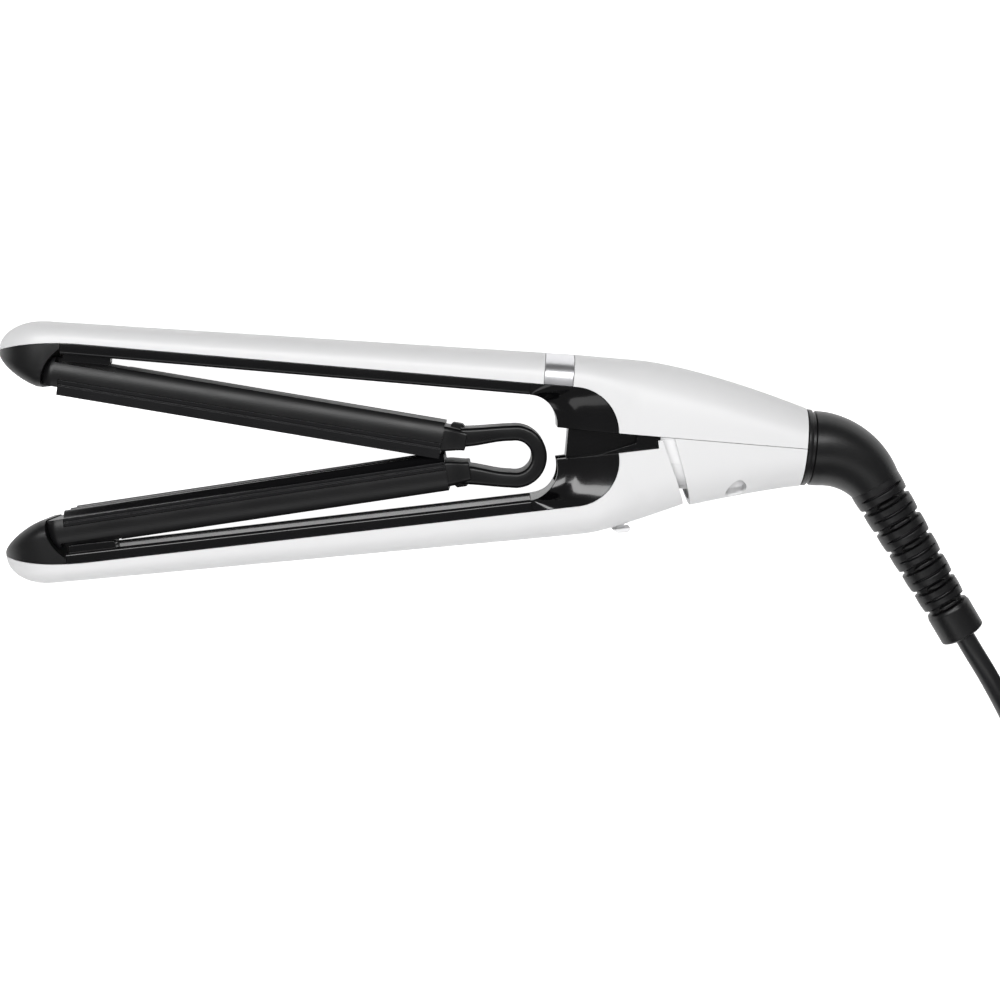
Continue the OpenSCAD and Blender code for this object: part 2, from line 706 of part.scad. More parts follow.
module upper_bar() { color(black) at_upper_bar() bar(0); }
module upper_plate() { color(black) at_upper_bar() plate(1); }
module upper_heater() { color(steel) at_upper_bar() heater(); }
module upper_socket() { color(black) at_upper_bar() bar_socket(); }
module lower_bar() { color(black) at_lower_bar() bar(bar_slot_l); }
module lower_plate() { color(black) at_lower_bar() plate(-1); }
module lower_heater() { color(steel) at_lower_bar() heater(); }
module lower_socket() { color(black) at_lower_bar() bar_socket(); }

// The point where the bars meet, and the strap that joins their sockets in a loop behind it
function turned2(v, a) = [v.x * cos(a) - v.y * sin(a), v.x * sin(a) + v.y * cos(a)];
function bar_end_at(tilt) = [-bar_pivot_x, bar_pivot_h] + turned2([bar_l, -bar_pivot_h], -tilt);
upper_meet = turned2(bar_end_at(upper_tilt), -half_open);
lower_meet = turned2([bar_end_at(lower_tilt).x, -bar_end_at(lower_tilt).y], half_open);
meet = [pivot.x, pivot.y] + (upper_meet + lower_meet) / 2;
strap_a = (lower_tilt - upper_tilt) / 2;
web_x = bend_x + bend_web - bend_outer_r;
loop_l = -(upper_meet.x + lower_meet.x) / 2 - web_x - loop_gap - loop_h / 2;
module strap_side() {
  bend_r = loop_h / 2;
  leg_y = socket_h + 0.6;
  difference() {
    hull() {
      translate([loop_l, 0]) circle(bend_r, $fn = 64);
      translate([socket_l - 2, -leg_y]) square([2, 2 * leg_y]);
    }
    hull() {
      translate([loop_l, 0]) circle(bend_r - strap_t, $fn = 64);
      translate([0, -0.9]) square([1, 1.8]);
    }
  }
}
module socket_space() {
  translate([bar_end - arm_w, 0, -arm_w]) cube([arm_w + socket_l + seat, arm_w, 2 * arm_w]);
}
module loop_strap() {
  color(black) difference() {
    translate([meet.x, meet.y, pivot.z]) rotate([0, 0, strap_a]) slab(-strap_w / 2, strap_w / 2) strap_side();
    at_upper_bar() socket_space();
    at_lower_bar() socket_space();
  }
}

// Swivelling boot: a collar that turns in the bush, a bend that narrows, and a ribbed sleeve
flange_h = 1.4;
groove_r = 0.8;
module swivel_collar() {
  stem_r = socket_r - pin_clear;
  color(black) at_upper() along_tail() rotate_extrude($fn = 96) polygon([
      [0, -bush_l - clear - flange_h], [socket_r + 1.5, -bush_l - clear - flange_h],
      [socket_r + 1.5, -bush_l - clear], [stem_r, -bush_l - clear], [stem_r, clear],
      [boot_d / 2, clear], [boot_d / 2, collar_l - groove_r], [boot_d / 2 - groove_r, collar_l - groove_r],
      [boot_d / 2 - groove_r, collar_l], [0, collar_l]
    ]);
}
elbow_steps = 9;
boot_from = [tail_l + collar_l, tail_h];
lead_l = elbow_lead - collar_l;
function elbow_at(a) = boot_from + [lead_l + elbow_r * sin(a), -elbow_r * (1 - cos(a))];
function elbow_radius(t) = lerp(boot_d - 0.6, rib_start_d, pow(t, 1.35)) / 2;
elbow_out = [cos(elbow_turn), -sin(elbow_turn)];
boot_end = elbow_at(elbow_turn);
// The last two points lie on the line of the ribbed part, so that the end is square to it
elbow_way = concat(
  [boot_from],
  [for (i = [0:elbow_steps - 1]) elbow_at(elbow_turn * i / elbow_steps)],
  [boot_end - elbow_out, boot_end]
);
elbow_points = [for (q = elbow_way) [q.x, q.y, 0]];
elbow_radii = concat(
  [elbow_radius(0)],
  [for (i = [0:elbow_steps - 1]) elbow_radius(i / elbow_steps)],
  [elbow_radius(1), elbow_radius(1)]
);
module boot_elbow() { color(black) at_upper() tube(elbow_points, elbow_radii, 24); }

module along_boot() {
  translate([boot_end.x, boot_end.y, 0]) rotate([0, 0, -elbow_turn]) rotate([0, 90, 0]) children();
}
rib_groove = 2;
rib_l = rib_n * rib_pitch;
rib_corners = [[0.05, 0], [rib_pitch - rib_groove, 0], [rib_pitch - rib_groove, 1], [rib_pitch, 1]];
function rib_radius(l) = lerp(rib_start_d, rib_end_d, l / rib_l) / 2;
window_depth = 0.9;
window_at = 2;
window_t = 1;
module strain_relief() {
  color(black) at_upper() along_boot() {
    difference() {
      rotate_extrude($fn = 64) polygon(concat(
          [[0, 0.05]],
          [for (i = [0:rib_n - 1]) for (c = rib_corners)
            let(l = i * rib_pitch + c[0]) [rib_radius(l) - rib_depth * c[1], l]],
          [
            [rib_end_d / 2 + 0.3, rib_l], [rib_end_d / 2 + 0.4, rib_l + cap_l - 1],
            [rib_end_d / 2 - 0.6, rib_l + cap_l], [0, rib_l + cap_l]
          ]
        ));
      for (i = [0:rib_n - 1]) both_ribs()
        translate([rib_radius(i * rib_pitch) - window_depth, -boot_d / 2, i * rib_pitch + window_at])
        cube([boot_d, boot_d, window_t]);
    }
  }
}
module both_ribs() { for (a = [0, 180]) rotate([0, 0, a]) children(); }

// Cord. The route is in the part's own frame, at the height where it lies on the surface.
cord_r = cord_d / 2;
tie_t = 0.8;
cord_z = cord_r + tie_t + 0.2;
boot_a = -half_open - elbow_turn;
function to_part(v) = let(w = turned2(v, -half_open)) [pivot.x + w.x, pivot.y + w.y];
cap_end = to_part(boot_end + (rib_l + cap_l) * elbow_out);
function route(p) = [cap_end.x + p.x, cap_end.y + p.y, p.z];
coil_centre = [cap_end.x + 70.7, cap_end.y - 23.9];
coil_start_a = 210;
layer_h = 6.5;
coil_all = 2 * coil_turns;
coil_rings = 24 * coil_all;
function coil_radius(u) = coil_r + coil_pitch * abs(coil_turns - u);
function coil_point(u) = let(a = coil_start_a + 360 * u, r = coil_radius(u)) [
    coil_centre.x + r * cos(a), coil_centre.y + r * sin(a),
    cord_z + layer_h * clamp(2 * (u - coil_turns) + 0.5)
  ];
function heading(a) = [-sin(a), cos(a), 0];
coil_out_a = coil_start_a + 360 * coil_all;
coil_points = concat(
  [coil_point(0) - cord_d * heading(coil_start_a)],
  [for (i = [0:coil_rings]) coil_point(i / 24)],
  [coil_point(coil_all) + cord_d * heading(coil_out_a)]
);
lead_points = [
  [cap_end.x, cap_end.y, pivot.z],
  [cap_end.x + cord_d * cos(boot_a), cap_end.y + cord_d * sin(boot_a), pivot.z],
  route([7.3, -12.1, 15.2]),
  route([11.7, -19.6, 13.2]),
  route([15.9, -26.9, 10.2]),
  route([19.5, -33.1, 7.2]),
  route([22.5, -38.3, 4.8]),
  coil_points[0] - (1 + seat) * heading(coil_start_a),
  coil_points[0] - seat * heading(coil_start_a)
];
tail_out = coil_points[len(coil_points) - 1];
tail_points = [
  tail_out + seat * heading(coil_out_a),
  tail_out + (1 + seat) * heading(coil_out_a),
  route([108.3, 8.9, 10.2]),
  route([106.3, 12.4, 9.6]),
  route([104, 16.4, 8.6]),
  route([101.7, 20.4, 7.7]),
  route([99.7, 23.8, 7.2]),
  route([98.1, 26.6, 7])
];
plug_a = 120;
plug_at = tail_points[len(tail_points) - 1];
module cord_lead() { color(black) tube(lead_points, [cord_r], 8); }
module cord_coil() { color(black) tube(coil_points, [cord_r], 6); }
module cord_tail() { color(black) tube(tail_points, [cord_r], 8); }
module coil_tie() {
  r0 = coil_r - cord_r - 1;
  r1 = coil_radius(0) + cord_r + 1;
  h = 2 * cord_z + layer_h;
  color(black) translate([coil_centre.x, coil_centre.y, 0])
    rotate([0, 0, 95]) rotate([90, 0, 0]) linear_extrude(tie_w, center = true) difference() {
      translate([r0 - tie_t, 0]) square([r1 - r0 + 2 * tie_t, h]);
      translate([r0, tie_t]) square([r1 - r0, h - 2 * tie_t]);
    }
}
module at_plug() { translate([plug_at.x, plug_at.y, plug_at.z]) rotate([0, 0, plug_a]) children(); }
plug_neck_w = 12;
module plug_body() {
  color(black) at_plug() intersection() {
    slab(-plug_t / 2, plug_t / 2) hull() {
      translate([0.05, -plug_neck_w / 2]) square([1, plug_neck_w]);
      translate([plug_l - 8, -plug_face_w / 2]) square([8, plug_face_w]);
    }
    union() {
      rotate([0, 90, 0]) cylinder(r1 = cord_r + 1.5, r2 = plug_t / 2 + 3, h = plug_l * 0.5);
      translate([plug_l * 0.4, -arm_w, -arm_w]) cube([arm_w, 2 * arm_w, 2 * arm_w]);
    }
  }
}
module plug_pins() {
  color(steel) at_plug() for (y = [-plug_pin_gap / 2, plug_pin_gap / 2])
    translate([plug_l, y, 0]) rotate([0, 90, 0]) cylinder(r = plug_pin_d / 2, h = plug_pin_l);
}

upper_shell();
upper_nose();
upper_liner();
trim_band();
tail_cover();
tail_screws();
hinge_block();
hinge_pin();
arm_spring();
upper_bar_pin();
circuit_board();
swivel_bush();
lower_shell();
lower_nose();
lower_liner();
lower_bar_pin();
lock_slider();
upper_bar();
upper_plate();
upper_heater();
upper_socket();
loop_strap();
lower_bar();
lower_plate();
lower_heater();
lower_socket();
swivel_collar();
boot_elbow();
strain_relief();
cord_lead();
cord_coil();
cord_tail();
coil_tie();
plug_body();
plug_pins();
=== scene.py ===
"""A hair crimper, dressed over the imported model.

The main forms are drawn in millimetres in each arm's own frame, where x runs back from the nose to
the hinge at 0, y is the height above the closed line and z is the width. A matrix then puts them in
the part's frame, in metres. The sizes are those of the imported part.
"""

import math

import bmesh
import bpy
from mathutils import Matrix, Vector


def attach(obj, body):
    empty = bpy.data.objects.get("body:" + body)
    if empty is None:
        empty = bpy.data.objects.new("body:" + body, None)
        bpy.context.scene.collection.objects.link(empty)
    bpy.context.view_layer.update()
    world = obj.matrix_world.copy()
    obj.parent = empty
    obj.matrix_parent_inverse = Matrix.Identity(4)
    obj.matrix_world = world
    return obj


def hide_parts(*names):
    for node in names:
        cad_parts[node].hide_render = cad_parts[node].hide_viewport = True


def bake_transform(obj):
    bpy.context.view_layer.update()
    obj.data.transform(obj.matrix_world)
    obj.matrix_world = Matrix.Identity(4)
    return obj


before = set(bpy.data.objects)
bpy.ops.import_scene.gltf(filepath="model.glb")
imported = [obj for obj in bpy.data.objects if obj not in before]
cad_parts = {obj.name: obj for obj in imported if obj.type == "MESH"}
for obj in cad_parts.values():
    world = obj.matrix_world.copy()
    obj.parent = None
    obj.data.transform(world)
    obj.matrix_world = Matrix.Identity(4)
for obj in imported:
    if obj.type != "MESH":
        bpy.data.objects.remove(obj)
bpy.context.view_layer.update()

# ---------------------------------------------------------------- sizes, in millimetres
MM = 0.001
ARM_L, ARM_W, NOSE_W = 196.5, 32.0, 29.0
HALF_OPEN = 5.75
SHELL_FRONT_H, SHELL_REAR_H = 20.8, 24.3
PARTING_H, LINER_H, EDGE_H = 15.0, 11.6, 0.9
REAR_X, REAR_LEAN = 2.2, 4.3
SHELL_WALL = 2.0
ROUND_L, TIP_H = 14.0, 10.8
NOSE_GAP, NOSE_SEAM_X, NOSE_UNDER_L, NOSE_POINT = 1.4, 176.0, 14.0, 1.5
BEND_OUTER_R, BEND_INNER_R, BEND_WEB, BEND_X = 13.4, 9.0, 18.0, 24.8
TAIL_L, TAIL_R, TAIL_H = 44.4, 11.75, 2.6
COVER_DROP, COVER_X, COVER_LEAN = 20.1, 5.0, 7.4
TAIL_START = -6.0
BAND_X, BAND_L, BAND_T = 26.0, 8.6, 0.6
BAR_L, BAR_W, BAR_H = 106.4, 27.0, 9.8
BAR_PIVOT_X, BAR_PIVOT_H = 168.3, 11.4
NOSE_R, NOSE_BED = 12.9, 2.8
UPPER_TILT, LOWER_TILT = 4.6, 1.9
PLATE_T, WAVE_H, WAVE_N = 3.6, 2.2, 3
SOCKET_L, SOCKET_H, SOCKET_BASE = 7.0, 7.8, 1.4
STRAP_T, STRAP_W, LOOP_L, LOOP_H = 4.5, 22.0, 21.7, 18.5
PLATE_FRONT, CHIN_H, BAR_BULGE, BAR_SLOT_L = 7.0, 1.3, 1.5, 2.8
SEAT = 0.1
NOSE_X = ARM_L * math.cos(math.radians(HALF_OPEN)) - TIP_H * math.sin(math.radians(HALF_OPEN))
TAIL_X = TAIL_L * math.cos(math.radians(HALF_OPEN)) + (TAIL_H + TAIL_R) * math.sin(math.radians(HALF_OPEN))
PIVOT = Vector(((NOSE_X - TAIL_X) / 2, 0, ARM_W / 2))


def turn_z(degrees):
    return Matrix.Rotation(math.radians(degrees), 4, "Z")


TO_METRES = Matrix.Scale(MM, 4)
FLIP_Y = Matrix.Scale(-1, 4, (0, 1, 0))
UPPER = TO_METRES @ Matrix.Translation(PIVOT) @ turn_z(-HALF_OPEN)
LOWER = TO_METRES @ Matrix.Translation(PIVOT) @ turn_z(HALF_OPEN) @ FLIP_Y


def at_bar(tilt):
    pin = Vector((-BAR_PIVOT_X, BAR_PIVOT_H, 0))
    return Matrix.Translation(pin) @ turn_z(-tilt) @ Matrix.Translation(-pin)


UPPER_BAR = UPPER @ at_bar(UPPER_TILT)
LOWER_BAR = LOWER @ at_bar(LOWER_TILT)


def lerp(a, b, t):
    return a + (b - a) * t


def clamp(v):
    return max(0.0, min(1.0, v))


def circle_rise(t):
    return math.sqrt(1 - (1 - clamp(t)) ** 2)


def smooth(t):
    t = clamp(t)
    return t * t * (3 - 2 * t)


# ---------------------------------------------------------------- materials
def material(name, color, rough, metallic=0.0, coat=0.0, coat_rough=0.08, grain=0.0, grain_scale=2500.0,
             rough_vary=0.05, tint=0.06, tint_scale=60.0, specular=0.5):
    """A Principled material with a fine surface grain, a little wear in its gloss and a slow tint."""
    m = bpy.data.materials.new(name)
    m.use_nodes = True
    nodes, links = m.node_tree.nodes, m.node_tree.links
    shader = nodes["Principled BSDF"]
    shader.inputs["Metallic"].default_value = metallic
    shader.inputs["Coat Weight"].default_value = coat
    shader.inputs["Coat Roughness"].default_value = coat_rough
    shader.inputs["Specular IOR Level"].default_value = specular
    place = nodes.new("ShaderNodeTexCoord")

    slow = nodes.new("ShaderNodeTexNoise")
    slow.inputs["Scale"].default_value = tint_scale
    slow.inputs["Detail"].default_value = 3.0
    links.new(place.outputs["Object"], slow.inputs["Vector"])
    mix = nodes.new("ShaderNodeMix")
    mix.data_type = "RGBA"
    mix.inputs["A"].default_value = (*[c * (1 - tint) for c in color], 1)
    mix.inputs["B"].default_value = (*[min(1.0, c * (1 + tint)) for c in color], 1)
    links.new(slow.outputs["Fac"], mix.inputs["Factor"])
    links.new(mix.outputs["Result"], shader.inputs["Base Color"])

    wear = nodes.new("ShaderNodeMapRange")
    wear.inputs["From Min"].default_value = 0.3
    wear.inputs["From Max"].default_value = 0.7
    wear.inputs["To Min"].default_value = max(0.02, rough - rough_vary)
    wear.inputs["To Max"].default_value = rough + rough_vary
    links.new(slow.outputs["Fac"], wear.inputs["Value"])
    links.new(wear.outputs["Result"], shader.inputs["Roughness"])

    if grain > 0:
        fine = nodes.new("ShaderNodeTexNoise")
        fine.inputs["Scale"].default_value = grain_scale
        fine.inputs["Detail"].default_value = 2.0
        links.new(place.outputs["Object"], fine.inputs["Vector"])
        bump = nodes.new("ShaderNodeBump")
        bump.inputs["Strength"].default_value = grain
        bump.inputs["Distance"].default_value = 0.0002
        links.new(fine.outputs["Fac"], bump.inputs["Height"])
        links.new(bump.outputs["Normal"], shader.inputs["Normal"])
    return m


WHITE = material("white_plastic", (0.86, 0.86, 0.865), 0.34, grain=0.03, tint=0.01, rough_vary=0.03)
MATTE = material("matte_black_plastic", (0.009, 0.009, 0.0095), 0.36, grain=0.08, rough_vary=0.04,
                 specular=0.4)
GLOSS = material("gloss_black_plastic", (0.003, 0.003, 0.0035), 0.16, coat=0.5, coat_rough=0.05,
                 rough_vary=0.03)
BAR_BLACK = material("bar_black_plastic", (0.006, 0.006, 0.0065), 0.34, grain=0.10, rough_vary=0.04)
PLATE = material("ceramic_plate", (0.012, 0.012, 0.013), 0.24, metallic=0.3, coat=0.2, grain=0.04,
                 rough_vary=0.04)
STRAP = material("strap_rubber", (0.004, 0.004, 0.0045), 0.32, grain=0.06, rough_vary=0.05)
BOOT = material("boot_rubber", (0.007, 0.007, 0.0075), 0.34, grain=0.12, rough_vary=0.05)
CORD = material("cord_jacket", (0.012, 0.012, 0.013), 0.30, grain=0.10, grain_scale=1200.0)
CHROME = material("chrome", (0.72, 0.72, 0.74), 0.32, metallic=1.0, rough_vary=0.03)
STEEL = material("steel", (0.52, 0.52, 0.54), 0.28, metallic=1.0, grain=0.05, grain_scale=900.0)
BOARD = material("circuit_board", (0.02, 0.14, 0.06), 0.40, tint=0.15)
HEATER = material("heater_ceramic", (0.62, 0.60, 0.56), 0.60, grain=0.10)
TIE = material("tie_fabric", (0.020, 0.020, 0.021), 0.85, grain=0.6, grain_scale=1400.0)


# ---------------------------------------------------------------- mesh helpers
def piece(name, verts, faces, place, look, body, stands_for=(), slot=None, bevel=0.0, sharp=35.0, segments=2):
    """A closed mesh from points in millimetres, put in the part's frame by place."""
    mesh = bpy.data.meshes.new(name)
    mesh.from_pydata([place @ Vector(v) for v in verts], [], faces)
    bm = bmesh.new()
    bm.from_mesh(mesh)
    bmesh.ops.remove_doubles(bm, verts=bm.verts, dist=1e-6)
    bmesh.ops.recalc_face_normals(bm, faces=bm.faces)
    bm.to_mesh(mesh)
    bm.free()
    mesh.materials.append(look)
    obj = bpy.data.objects.new(name, mesh)
    bpy.context.scene.collection.objects.link(obj)
    mesh.polygons.foreach_set("use_smooth", [True] * len(mesh.polygons))
    mesh.set_sharp_from_angle(angle=math.radians(sharp))
    if bevel > 0:
        edge = obj.modifiers.new("edge", "BEVEL")
        edge.width = bevel * MM
        edge.segments = segments
        edge.limit_method = "ANGLE"
        edge.angle_limit = math.radians(sharp)
        edge.harden_normals = True
    if body:
        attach(obj, body)
    if stands_for:
        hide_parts(*stands_for)
    return obj


def quads(rows, ring):
    """Faces between rows of points, each a closed ring."""
    return [
        (i * ring + j, i * ring + (j + 1) % ring, (i + 1) * ring + (j + 1) % ring, (i + 1) * ring + j)
        for i in range(rows - 1) for j in range(ring)
    ]


def solid_loft(rings):
    """Points and faces of a closed solid through rings of points."""
    n = len(rings[0])
    verts = [p for ring in rings for p in ring]
    end = (len(rings) - 1) * n
    return verts, quads(len(rings), n) + [tuple(range(n)), tuple(end + j for j in reversed(range(n)))]


def looped(rings):
    """Points and faces of a ring-shaped solid, whose last ring of points joins its first."""
    n = len(rings[0])
    last = (len(rings) - 1) * n
    verts = [p for ring in rings for p in ring]
    return verts, quads(len(rings), n) + [(last + j, last + (j + 1) % n, (j + 1) % n, j) for j in range(n)]


def section_loft(xs, section):
    """A closed solid whose outline at each x is section(x), a list of (z, y) points."""
    return solid_loft([[(x, y, z) for z, y in section(x)] for x in xs])


def spread(start, stop, step):
    n = max(1, round(abs(stop - start) / step))
    return [lerp(start, stop, i / n) for i in range(n + 1)]


def rounded(half, low, high, r_low, r_high, steps=5):
    """A rectangle, seen along x, with rounded corners: a list of (z, y)."""
    points = []
    for cz, cy, r, a0 in (
        (half - r_high, high - r_high, r_high, 0),
        (r_high - half, high - r_high, r_high, 90),
        (r_low - half, low + r_low, r_low, 180),
        (half - r_low, low + r_low, r_low, 270),
    ):
        for i in range(steps + 1):
            a = math.radians(a0 + 90 * i / steps)
            points.append((cz + r * math.cos(a), cy + r * math.sin(a)))
    return points


def slab(points, z0, z1):
    """A closed solid between two heights over an outline of (x, y) points."""
    return solid_loft([[(x, y, z0) for x, y in points], [(x, y, z1) for x, y in points]])


def joined(*solids):
    """Several solids as one list of points and faces."""
    verts, faces = [], []
    for v, f in solids:
        faces += [tuple(i + len(verts) for i in face) for face in f]
        verts += v
    return verts, faces


def both_sides(points, z0, z1):
    return joined(slab(points, z0, z1), slab(points, -z1, -z0))


def flipped(solid):
    """The same solid on the other side."""
    verts, faces = solid
    return [(x, y, -z) for x, y, z in verts], faces


def arc(r, a0, a1, steps=24):
    """Points on a circle round the hinge, between two angles."""
    angles = [math.radians(lerp(a0, a1, i / steps)) for i in range(steps + 1)]
    return [(r * math.cos(a), r * math.sin(a)) for a in angles]


def rod(start, stop, radius, sides=48):
    """A closed cylinder between two points."""
    a, b = Vector(start), Vector(stop)
    axis = (b - a).normalized()
    u = axis.orthogonal().normalized()
    v = axis.cross(u)
    rings = []
    for end in (a, b):
        ring = []
        for i in range(sides):
            t = 2 * math.pi * i / sides
            ring.append(tuple(end + radius * (math.cos(t) * u + math.sin(t) * v)))
        rings.append(ring)
    return solid_loft(rings)


def cut(obj, verts, faces, place):
    """Takes a closed solid out of a piece."""
    mesh = bpy.data.meshes.new("cutter")
    mesh.from_pydata([place @ Vector(v) for v in verts], [], faces)
    bm = bmesh.new()
    bm.from_mesh(mesh)
    bmesh.ops.recalc_face_normals(bm, faces=bm.faces)
    bm.to_mesh(mesh)
    bm.free()
    cutter = bpy.data.objects.new("cutter", mesh)
    bpy.context.scene.collection.objects.link(cutter)
    kept = list(obj.modifiers)
    hole = obj.modifiers.new("hole", "BOOLEAN")
    hole.operation = "DIFFERENCE"
    hole.solver = "EXACT"
    hole.object = cutter
    for m in kept:
        m.show_viewport = False
    bpy.context.view_layer.update()
    result = bpy.data.meshes.new_from_object(obj.evaluated_get(bpy.context.evaluated_depsgraph_get()))
    obj.modifiers.remove(hole)
    for m in kept:
        m.show_viewport = True
    look = obj.data.materials[0]
    obj.data = result
    result.materials.clear()
    result.materials.append(look)
    bpy.data.objects.remove(cutter)
    bm = bmesh.new()
    bm.from_mesh(result)
    bmesh.ops.dissolve_degenerate(bm, edges=bm.edges, dist=1e-6)
    bm.to_mesh(result)
    bm.free()
    result.polygons.foreach_set("use_smooth", [True] * len(result.polygons))
    result.set_sharp_from_angle(angle=math.radians(30))


# ---------------------------------------------------------------- the arms' profiles
def arm_top(x):
    base = lerp(SHELL_FRONT_H, SHELL_REAR_H, clamp((x + ARM_L - ROUND_L) / (ARM_L - 3 * ROUND_L)))
    return TIP_H + (base - TIP_H) * circle_rise((x + ARM_L) / ROUND_L)


def arm_part(x):
    return PARTING_H - (PARTING_H - TIP_H) * clamp(1 - (x + ARM_L) / (2 * ROUND_L)) ** 2.2


def arm_half(x):
    return lerp(NOSE_W, ARM_W, clamp((x + ARM_L) / ARM_L)) / 2 * circle_rise((x + ARM_L) / (1.15 * ROUND_L))


def tail_t(x):
    return clamp((x - TAIL_START) / (TAIL_L - TAIL_START)) ** 1.5


def upper_top(x):
    return arm_top(x) - (SHELL_REAR_H - TAIL_H - TAIL_R) * tail_t(x)


def upper_half(x):
    return arm_half(min(x, 0)) - (ARM_W / 2 - TAIL_R) * tail_t(x)


LOWER_FALL, LOWER_FALL_X = 5.3, -22.0
EDGE_OUT_X = REAR_X + REAR_LEAN


def lower_top(x):
    return arm_top(x) - LOWER_FALL * clamp((x - LOWER_FALL_X) / (EDGE_OUT_X - LOWER_FALL_X)) ** 1.3


BEND_Y = PARTING_H - BEND_OUTER_R
UPPER_END_A = math.degrees(math.asin((TAIL_H - BEND_Y) / BEND_OUTER_R))
LOWER_END_A = math.degrees(math.asin((EDGE_H - BEND_Y) / BEND_OUTER_R))
BEND_OUT_X = -4.0
TIP_STEPS = [0.02, 0.12, 0.3, 0.6, 1.0, 1.6, 2.4, 3.4, 4.6, 6, 7.6, 9.4, 11.4, 13.6, 16, 19, 22, 25, 28]
ARM_XS = [d - ARM_L for d in TIP_STEPS] + spread(-ARM_L + 34, -BEND_X - 12, 6)


def bend_at(a):
    a = math.radians(a)
    return (BEND_OUTER_R * math.cos(a) - BEND_X, BEND_Y + BEND_OUTER_R * math.sin(a))


BOW_STEPS = 28


def bow_point(outer, part, half, square, a, inset):
    """A point at angle a on the bow over a station, or on one that lies inset inside it."""
    rise = math.dist(outer, part)
    down = min(inset, 0.6 * rise) / rise
    top = (lerp(outer[0], part[0], down), lerp(outer[1], part[1], down))
    half = half - min(inset, 0.6 * half)
    side = math.copysign(abs(math.cos(a)) ** square, math.cos(a))
    lift = math.sin(a) ** square if a not in (0.0, math.pi) else 0.0
    return (lerp(part[0], top[0], lift), lerp(part[1], top[1], lift), side * half)


def bow_shell(stations, wall, skin=0.0):
    """A shell with a wall, through bows over stations.

    Each station is (outer point, parting point, half width, squareness).
    """
    angles = [math.pi * i / BOW_STEPS for i in range(BOW_STEPS)] + [math.pi]
    verts = []
    for s in stations:
        verts += [bow_point(*s, a, skin) for a in angles]
        verts += [bow_point(*s, a, skin + wall) for a in reversed(angles)]
    n = 2 * len(angles)
    faces = quads(len(stations), n)
    end = (len(stations) - 1) * n
    for j in range(len(angles) - 1):
        faces.append((j, j + 1, n - 2 - j, n - 1 - j))
        faces.append((end + j, end + n - 1 - j, end + n - 2 - j, end + j + 1))
    return verts, faces


def upper_station(x, part, square=0.7, dip=0.0):
    return ((x, upper_top(x) - dip), (part[0], part[1] + SEAT / 2), upper_half(max(x, part[0])) - dip, square)


def upper_shell_stations():
    front, rear = -BAND_X - BAND_L, -BAND_X
    dip = BAND_T + SEAT
    edge = 0.06
    out = [upper_station(x, (x, arm_part(x))) for x in ARM_XS if x < front - 0.5]
    for x, d in ((front - edge, 0), (front + edge, dip), (rear - edge, dip), (rear + edge, 0)):
        out.append(upper_station(x, (x, PARTING_H), dip=d))
    for i in range(25):
        t = i / 24
        out.append(upper_station(lerp(-BEND_X, BEND_OUT_X, t), bend_at(lerp(90, UPPER_END_A, t))))
    for i in range(1, 21):
        t = i / 20
        part = (lerp(bend_at(UPPER_END_A)[0], TAIL_L, t), TAIL_H)
        out.append(upper_station(lerp(BEND_OUT_X, TAIL_L, t), part, square=lerp(0.7, 1, t)))
    return out


def lower_shell_stations():
    out = [((x, lower_top(x)), (x, arm_part(x) + SEAT / 2), arm_half(x), 0.7) for x in ARM_XS]
    for i in range(25):
        t = i / 24
        x, part = lerp(-BEND_X, BEND_OUT_X, t), bend_at(lerp(90, LOWER_END_A, t))
        out.append(((x, lower_top(x)), (part[0], part[1] + SEAT / 2), arm_half(min(x, 0)), 0.7))
    for i in range(1, 6):
        t = i / 5
        x = lerp(BEND_OUT_X, EDGE_OUT_X, t)
        part = (lerp(bend_at(LOWER_END_A)[0], REAR_X, t), EDGE_H)
        out.append(((x, lower_top(x)), part, arm_half(min(x, 0)), 0.7))
    return out


def cover_form(t):
    """Depth and squareness of the cover's section, from its front at 0 to its end at 1."""
    return TAIL_R + (COVER_DROP - TAIL_R) * (1 - t) ** 1.15, lerp(0.75, 1, t)


def cover_stations():
    out = []
    for i in range(16):
        t = i / 15
        x = lerp(COVER_X + COVER_LEAN, TAIL_L, t)
        drop, square = cover_form(t)
        out.append(((x, TAIL_H - drop), (lerp(COVER_X, TAIL_L, t), TAIL_H - SEAT), upper_half(x), square))
    return out


# ---------------------------------------------------------------- shells, band and cover
EDGE = 0.25
piece("upper_shell_skin", *bow_shell(upper_shell_stations(), SHELL_WALL), UPPER, WHITE, "handle",
      ["upper_shell"], "white_shell", bevel=EDGE)
piece("lower_shell_skin", *bow_shell(lower_shell_stations(), SHELL_WALL), LOWER, WHITE, "lower_arm",
      ["lower_shell"], "white_shell", bevel=EDGE)
band_xs = spread(-BAND_X - BAND_L + SEAT, -BAND_X - SEAT, 1.5)
band_stations = [upper_station(x, (x, PARTING_H)) for x in band_xs]
piece("trim_band_skin", *bow_shell(band_stations, BAND_T), UPPER, CHROME, "handle", ["trim_band"], "chrome",
      bevel=0.15)

WELL_X, WELL_Z, WELL_R, WELL_SIDES = 25.0, 8.0, 3.0, 40
WELL_END, WELL_FOOT, WELL_INSET = -6.0, -14.5, 0.7
WELL_BOSS_R, SCREW_R = WELL_R + 1.2, 1.5
cover = piece("tail_cover_skin", *bow_shell(cover_stations(), SHELL_WALL), UPPER, WHITE, "handle",
              ["tail_cover"], "white_shell", bevel=EDGE)

WELL_AT = [(WELL_X, side * WELL_Z) for side in (1, -1)]
for x, z in WELL_AT:
    cut(cover, *rod((x, -ARM_W, z), (x, WELL_END, z), WELL_R, WELL_SIDES), UPPER)

